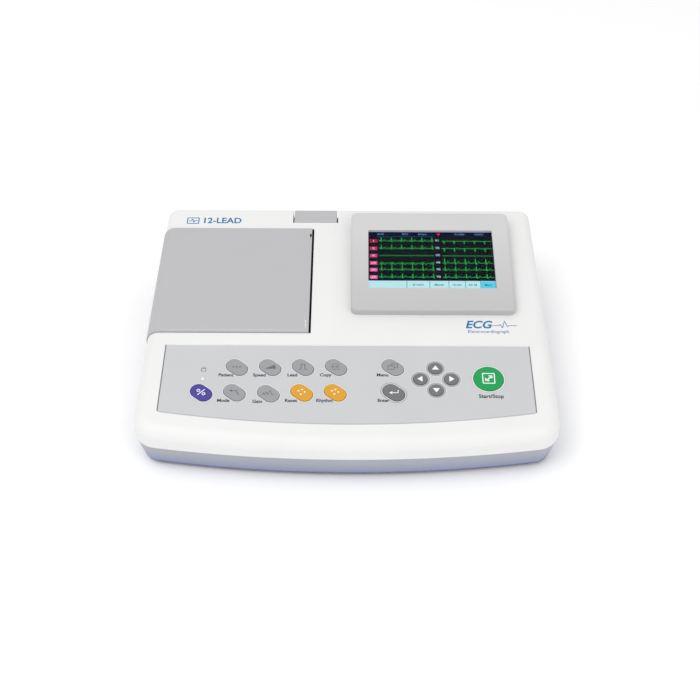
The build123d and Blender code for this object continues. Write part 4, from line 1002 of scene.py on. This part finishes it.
# ---------------------------------------------------------------- screen
@dataclass(frozen=True)
class ScreenSizes:
    """The lit area in millimetres, on the pod's sheet."""

    width: float = 106.8
    height: float = 64.4
    centre: float = 57.6
    depth: float = 3.76
    step: float = 0.006
    period: float = 0.082  # one heartbeat, as a share of the width
    wave: float = 3.6  # height of a wave of one
    line: float = 0.30
    status_row: float = 0.058  # middle of the status bar, as a share of the height
    soft_top: float = 0.868  # top of the soft-key bar
    soft_row: float = 0.935  # middle of its words
    words_level: int = 4


class Beat(Enum):
    """Shapes of one heartbeat: (height, place, spread) of each wave over a period of one."""

    UPRIGHT = (
        (0.24, 0.16, 0.04), (-0.15, 0.32, 0.015), (1.1, 0.37, 0.02), (-0.3, 0.42, 0.018), (0.42, 0.68, 0.06),
    )
    FLAT = ((0.02, 0.18, 0.03), (0.06, 0.37, 0.014), (-0.04, 0.41, 0.012), (0.03, 0.66, 0.05))
    DEEP = (
        (-0.35, 0.14, 0.05), (0.25, 0.30, 0.02), (-0.8, 0.37, 0.022), (0.3, 0.44, 0.02), (-0.5, 0.68, 0.08),
    )
    SMALL_DOWN = ((0.06, 0.18, 0.03), (0.15, 0.33, 0.012), (-0.9, 0.38, 0.018), (0.12, 0.66, 0.05))
    LONG_DOWN = ((0.12, 0.16, 0.04), (0.25, 0.33, 0.014), (-1.0, 0.38, 0.018), (0.3, 0.64, 0.07))
    BIPHASIC = ((0.2, 0.15, 0.05), (1.5, 0.35, 0.016), (-0.5, 0.41, 0.018), (0.6, 0.66, 0.07))


class Screen:
    """The picture on the display: status bar, twelve traces, lead names and a soft-key bar."""

    rows = (0.180, 0.312, 0.438, 0.566, 0.682, 0.808)
    left = (Beat.UPRIGHT, Beat.UPRIGHT, Beat.FLAT, Beat.DEEP, Beat.UPRIGHT, Beat.UPRIGHT)
    right = (Beat.SMALL_DOWN, Beat.LONG_DOWN, Beat.FLAT, Beat.BIPHASIC, Beat.UPRIGHT, Beat.UPRIGHT)

    def __init__(self, sizes: ScreenSizes) -> None:
        """Keeps the sizes.

        Args:
            sizes: of the lit area.
        """
        self.sizes = sizes

    def spot(self, across: float | np.ndarray, down: float) -> tuple[float | np.ndarray, float]:
        """Finds a point of the picture on the pod's sheet.

        Args:
            across: fraction of the width from the left.
            down: fraction of the height from the top.

        Returns:
            Its x and y in millimetres.
        """
        size = self.sizes
        return ((across - 0.5) * size.width, size.centre + (0.5 - down) * size.height)

    def layer(self, step: int) -> Marks:
        """Starts marks over the screen's face.

        Args:
            step: level over the face.

        Returns:
            Empty marks at that level.
        """
        return Marks(POD, -self.sizes.depth + step * self.sizes.step)

    def block(self, marks: Marks, x0: float, x1: float, y0: float, y1: float) -> None:
        """Draws a filled box.

        Args:
            marks: where to draw.
            x0: left side, a fraction of the width.
            x1: right side.
            y0: top, a fraction of the height.
            y1: bottom.
        """
        left, top = self.spot(x0, y0)
        right, bottom = self.spot(x1, y1)
        marks.box(left, right, bottom, top)

    def trace(self, marks: Marks, beat: Beat, x0: float, x1: float, row: float, shift: float) -> None:
        """Draws one lead: y(t) = row + height * sum of a exp(-((t - m) / s)^2), t running in beats.

        Args:
            marks: where to draw.
            beat: shape of the heartbeat.
            x0: left end, a fraction of the width.
            x1: right end.
            row: baseline, a fraction of the height.
            shift: start in the beat.
        """
        size = self.sizes
        across = np.linspace(x0, x1, 600)
        time = ((across - x0) / size.period + shift) % 1.0
        waves = np.array(beat.value)
        rise = (waves[:, 0, None] * np.exp(-(((time - waves[:, 1, None]) / waves[:, 2, None]) ** 2))).sum(0)
        x, y = self.spot(across, row)
        marks.band(np.stack([x, y + rise * size.wave], axis=1), size.line)

    def build(self) -> None:
        """Builds the whole picture."""
        size = self.sizes
        ground = self.layer(0)
        self.block(ground, 0, 1, 0, 1)
        ground.build("screen_ground", Glow("screen_black", (0.004, 0.007, 0.010), 1.0).build(), "case")
        bars = self.layer(1)
        self.block(bars, 0, 1, 0.02, 0.095)
        bars.build("screen_status_bar", Glow("screen_navy", (0.004, 0.006, 0.035), 1.0).build(), "case")
        keys = self.layer(1)
        self.block(keys, 0, 1, size.soft_top, 1)
        keys.build("screen_soft_keys", Glow("screen_mint", (0.50, 0.82, 0.86), 0.95).build(), "case")
        split = self.layer(2)
        for x in (0.30, 0.48, 0.63, 0.76, 0.88):
            self.block(split, x, x + 0.004, size.soft_top, 1)
        self.block(split, 0.0, 1.0, 0.862, 0.869)
        self.block(split, 0.07, 0.53, 0.10, 0.103)
        split.build("screen_dividers", Glow("screen_teal", (0.02, 0.18, 0.30), 1.0).build(), "case")
        last = self.layer(2)
        self.block(last, 0.885, 1.0, 0.875, 1)
        last.build("screen_soft_key_lit", Glow("screen_cyan", (0.10, 0.62, 0.80), 1.0).build(), "case")
        traces = self.layer(2)
        for number, row in enumerate(self.rows):
            self.trace(traces, self.left[number], 0.085, 0.525, row, 0.12)
            self.trace(traces, self.right[number], 0.59, 0.995, row, 0.12)
        traces.build("screen_traces", Glow("screen_green", (0.02, 0.62, 0.10), 1.1).build(), "case")
        for number, row in enumerate(self.rows):
            share = number / 5
            box = self.layer(2)
            self.block(box, 0.012, 0.072, row - 0.03, row + 0.03)
            tint = (0.42 + 0.5 * share, 0.012 + 0.10 * share, 0.06 + 0.32 * share)
            pink = Glow(f"screen_pink_{number + 1}", tint, 1.0).build()
            box.build(f"screen_lead_box_{number + 1}", pink, "case")
        level = -size.depth + size.words_level * size.step
        names = Words(POD, level)
        for name, row in zip(("I", "II", "III", "aVR", "aVL", "aVF"), self.rows):
            names.write(name, 3.0 if len(name) < 3 else 2.4, self.spot(0.042, row), bold=0.04)
        for number, row in enumerate(self.rows):
            names.write(f"V{number + 1}", 3.2, self.spot(0.556, row - 0.01), bold=0.05)
        names.build("screen_lead_names", Glow("screen_white", (0.55, 0.68, 0.9), 1.0).build(), "case")
        status = Words(POD, level)
        for word, x in (("00:00", 0.1), ("REST", 0.30), ("60 bpm", 0.44), ("ID 0000", 0.74), ("READY", 0.90)):
            status.write(word, 2.6, self.spot(x, size.status_row))
        status.build("screen_status", Glow("screen_blue", (0.16, 0.32, 0.75), 1.0).build(), "case")
        soft = Words(POD, level)
        soft_words = (("25 mm/s", 0.39), ("Manual", 0.555), ("10 mm", 0.695), ("AC 50", 0.82), ("Menu", 0.94))
        for word, x in soft_words:
            soft.write(word, 2.7, self.spot(x, size.soft_row), bold=0.05)
        soft.build("screen_soft_key_names", Glow("screen_dark_text", (0.01, 0.05, 0.10), 1.0).build(), "case")
        heart = self.layer(3)
        x, y = self.spot(0.57, size.status_row)
        for side in (-0.62, 0.62):
            heart.disc(0.75, (x + side, y + 0.3))
        heart.band(line((0, 0.35), (0, -1.5)), taper(2.5), (x, y))
        heart.build("screen_heart", Glow("screen_red", (0.85, 0.02, 0.03), 1.0).build(), "case")
        LOG.info("screen picture")


# ---------------------------------------------------------------- case graphics
@dataclass(frozen=True)
class CaseSizes:
    """Places and sizes of the marks on case and door in millimetres, on the deck's sheet."""

    pulse: tuple[float, float] = (-137.6, 237.4)
    leads_shift: float = 25.5
    leads_size: float = 9.4
    kind: tuple[float, float] = (107.0, 118.6)
    kind_size: float = 11.0
    full_name: tuple[float, float] = (115.0, 111.6)
    full_name_size: float = 4.4
    kind_pulse: tuple[float, float] = (118.5, 118.0)
    door_top: float = 1.0
    door_marks_x: float = -34.6
    # painted highlight along the door's rounded front edge
    band_ends: tuple[float, float] = (-152.0, -34.5)
    band_y: float = 111.6
    band_width: float = 0.7
    catch_x: float = -32.9
    catch_ends: tuple[float, float] = (216.5, 220.5)
    # painted shade in the gap along the door's right edge
    gap_shade_x: float = -31.76
    gap_shade_ends: tuple[float, float] = (110.0, 226.9)
    gap_shade_top: float = 0.9
    gap_shade_bottom: float = -1.4
    # painted shade strip in the paper slot
    slot_shade_x: float = -30.85
    slot_shade_ends: tuple[float, float] = (110.2, 226.8)
    slot_shade_width: float = 1.66
    slot_shade_height: float = -0.3


class CasePrint:
    """Generic printed marks on the white case, small moulded marks on the door, and painted highlight and
    painted shade along the door's edges and in the paper slot.
    """

    def __init__(self, sizes: CaseSizes) -> None:
        """Keeps the sizes.

        Args:
            sizes: of the marks.
        """
        self.sizes = sizes

    def pulse_mark(self) -> None:
        """A blue pulse line in a box and the number of leads, on the strip behind the door."""
        inks = Marks(DECK)
        x, y = self.sizes.pulse
        frame = line((-5.0, -3.4), (5.0, -3.4), (5.0, 3.4), (-5.0, 3.4), (-5.0, -3.4), steps=16)
        inks.band(frame, 0.9, (x, y))
        beat = line((-3.8, -0.4), (-1.8, -0.4), (-0.6, 2.0), (0.6, -2.0), (1.6, 0.2), (3.8, 0.2), steps=10)
        inks.band(beat, 0.8, (x, y))
        inks.build("pulse_mark", BLUE_INK.build(), "case")
        words = Words(DECK)
        words.write("12-LEAD", self.sizes.leads_size, (x + self.sizes.leads_shift, y), bold=0.22)
        words.build("lead_count_label", BLUE_INK.build(), "case")
        LOG.info("pulse mark")

    def kind_label(self) -> None:
        """The kind of machine, in slanted blue letters between keypad and display."""
        size = self.sizes
        words = Words(DECK)
        words.write("ECG", size.kind_size, size.kind, slant=0.25, bold=0.30)
        words.write("Electrocardiograph", size.full_name_size, size.full_name, bold=0.03)
        words.build("kind_label", BLUE_INK.build(), "case")
        inks = Marks(DECK)
        waves = ((6.6, 1.4), (8.2, -2.6), (10.4, 5.0), (12.4, -1.2))
        inks.band(line((0, 0), (5, 0), *waves, (13.4, 0), (20, 0), steps=8), 0.6, size.kind_pulse)
        inks.build("kind_pulse", BLUE_INK.build(), "case")
        LOG.info("kind label")

    def door_marks(self) -> None:
        """White marks and catch of the door, a painted highlight band on its rounded front edge, painted
        shade in the gap along its right edge, and a painted shade strip in the paper slot beside it.
        """
        size = self.sizes
        top = size.door_top + PRINT_HEIGHT
        inks = Marks(DECK, top)
        inks.band(line((0, 0), (0, 2.6)), 0.5, (size.door_marks_x, 119.4))
        inks.disc(0.6, (size.door_marks_x, 117.2))
        inks.disc(0.5, (size.door_marks_x + 0.2, 115.0))
        inks.build("door_marks", WHITE_INK.build(), "door")
        # painted highlight: a paler band where the door's rounded front edge catches the light
        band = Marks(DECK, top)
        left, right = size.band_ends
        band.band(line((left, size.band_y), (right, size.band_y), steps=30), size.band_width)
        band.build("door_front_painted_highlight", DOOR_FRONT_HIGHLIGHT.build(), "door")
        catch = Marks(DECK, top)
        ends = [(size.catch_x, y) for y in size.catch_ends]
        catch.band(line(*ends, steps=6), np.linspace(0.8, 1.9, 7))
        catch.build("door_catch", DOOR_CATCH_AND_GAP_SHADE.build(), "door")
        # painted shade: a black strip standing in the gap along the door's right edge
        painted_shade_line = Surface()
        along = np.linspace(*size.gap_shade_ends, 40)
        flat = np.stack([np.full_like(along, size.gap_shade_x), along], axis=1)
        painted_shade_line.add_grid(np.stack([DECK.place(flat, size.gap_shade_top), DECK.place(flat, size.gap_shade_bottom)]))
        strip = painted_shade_line.build("door_gap_painted_shade", DOOR_CATCH_AND_GAP_SHADE.build())
        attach(strip, "door")
        # painted shade: a black strip lining the paper slot beside the door
        slot_shade = Marks(DECK, size.slot_shade_height)
        ends = [(size.slot_shade_x, y) for y in size.slot_shade_ends]
        slot_shade.band(line(*ends, steps=40), size.slot_shade_width)
        slot_shade.build("paper_slot_painted_shade", DOOR_CATCH_AND_GAP_SHADE.build(), "case")
        LOG.info("door marks")

    def build(self) -> None:
        """Builds every mark on the case and the door."""
        self.pulse_mark()
        self.kind_label()
        self.door_marks()


# ---------------------------------------------------------------- studio
@dataclass(frozen=True)
class StudioSizes:
    """Light and camera of the shot."""

    camera: tuple[float, float, float] = (0.006527, -0.690797, 0.688806)
    pitch: float = 46.0
    yaw: float = 0.38
    lens: float = 58.27
    sensor: float = 36.0
    world: float = 0.86
    floor: Colour = (0.96, 0.96, 0.96)


@dataclass(frozen=True)
class Lamp:
    """A square soft lamp: its name, place in metres, power in watts and side in metres."""

    name: str
    place: tuple[float, float, float]
    power: float
    side: float


LAMPS = (
    Lamp("key_lamp", (-0.7, -0.5, 1.5), 9.0, 1.1),
    Lamp("fill_lamp", (1.0, -0.9, 1.0), 4.0, 1.2),
    Lamp("front_lamp", (0.0, -1.4, 0.35), 0.5, 0.8),
)


class Studio:
    """Pale floor, soft light and the camera."""

    def __init__(self, sizes: StudioSizes) -> None:
        """Keeps the sizes.

        Args:
            sizes: of the studio.
        """
        self.sizes = sizes

    def floor(self) -> None:
        """A wide pale floor at the machine's feet."""
        surface = Surface()
        reach = np.linspace(-4.0, 4.0, 9)
        x, y = np.meshgrid(reach, reach)
        surface.add_grid(np.stack([x, y, np.zeros_like(x)], axis=-1))
        paint = Finish("floor_paint", self.sizes.floor, rough=0.9, drift=0.004)
        floor = surface.build("floor", paint.build())
        LOG.info("floor")

    @staticmethod
    def hang(lamp: Lamp) -> None:
        """Hangs a lamp and aims it at the machine.

        Args:
            lamp: what to hang.
        """
        light = bpy.data.lights.new(lamp.name, "AREA")
        light.energy = lamp.power
        light.size = lamp.side
        obj = bpy.data.objects.new(lamp.name, light)
        obj.location = lamp.place
        aim = -obj.location
        obj.rotation_euler = aim.to_track_quat("-Z", "Y").to_euler()
        bpy.context.scene.collection.objects.link(obj)

    def build(self) -> None:
        """Builds floor, lamps, sky and camera."""
        size = self.sizes
        self.floor()
        for lamp in LAMPS:
            self.hang(lamp)
        world = bpy.data.worlds.new("studio")
        world.use_nodes = True
        ground = world.node_tree.nodes["Background"]
        ground.inputs["Color"].default_value = (1.0, 1.0, 1.0, 1.0)
        ground.inputs["Strength"].default_value = size.world
        bpy.context.scene.world = world
        bpy.context.scene.view_settings.view_transform = "Standard"
        shot = bpy.data.cameras.new("shot")
        shot.lens = size.lens
        shot.sensor_width = size.sensor
        shot.clip_start = 0.01
        shot.clip_end = 50.0
        camera = bpy.data.objects.new("shot", shot)
        camera.location = size.camera
        camera.rotation_euler = Euler((math.radians(size.pitch), 0.0, math.radians(size.yaw)))
        bpy.context.scene.collection.objects.link(camera)
        bpy.context.scene.camera = camera
        LOG.info("studio")


class Dresser:
    """Gives every CAD node its finish."""

    def __init__(self, nodes: dict[str, bpy.types.Object]) -> None:
        """Keeps the nodes.

        Args:
            nodes: the CAD objects by name.
        """
        self.nodes = nodes

    def dress(self, name: str, material: bpy.types.Material) -> None:
        """Puts one material on a node.

        Args:
            name: the node.
            material: its only material.
        """
        mesh = self.nodes[name].data
        mesh.materials.clear()
        mesh.materials.append(material)

    def build(self) -> None:
        """Dresses every node."""
        for name in self.nodes:
            if name == "display_window":
                self.dress(name, Pane("clear_pane").build())
            else:
                self.dress(name, NODE_FINISH[name].build())
        LOG.info("finishes on %d nodes", len(self.nodes))


def main() -> None:
    """Builds the scene in order."""
    logging.basicConfig(level=logging.INFO, format="%(name)s: %(message)s")
    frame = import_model()
    Dresser(frame["nodes"]).build()
    Keypad(KeypadSizes()).build()
    Screen(ScreenSizes()).build()
    CasePrint(CaseSizes()).build()
    Studio(StudioSizes()).build()


if __name__ == "__main__":
    main()
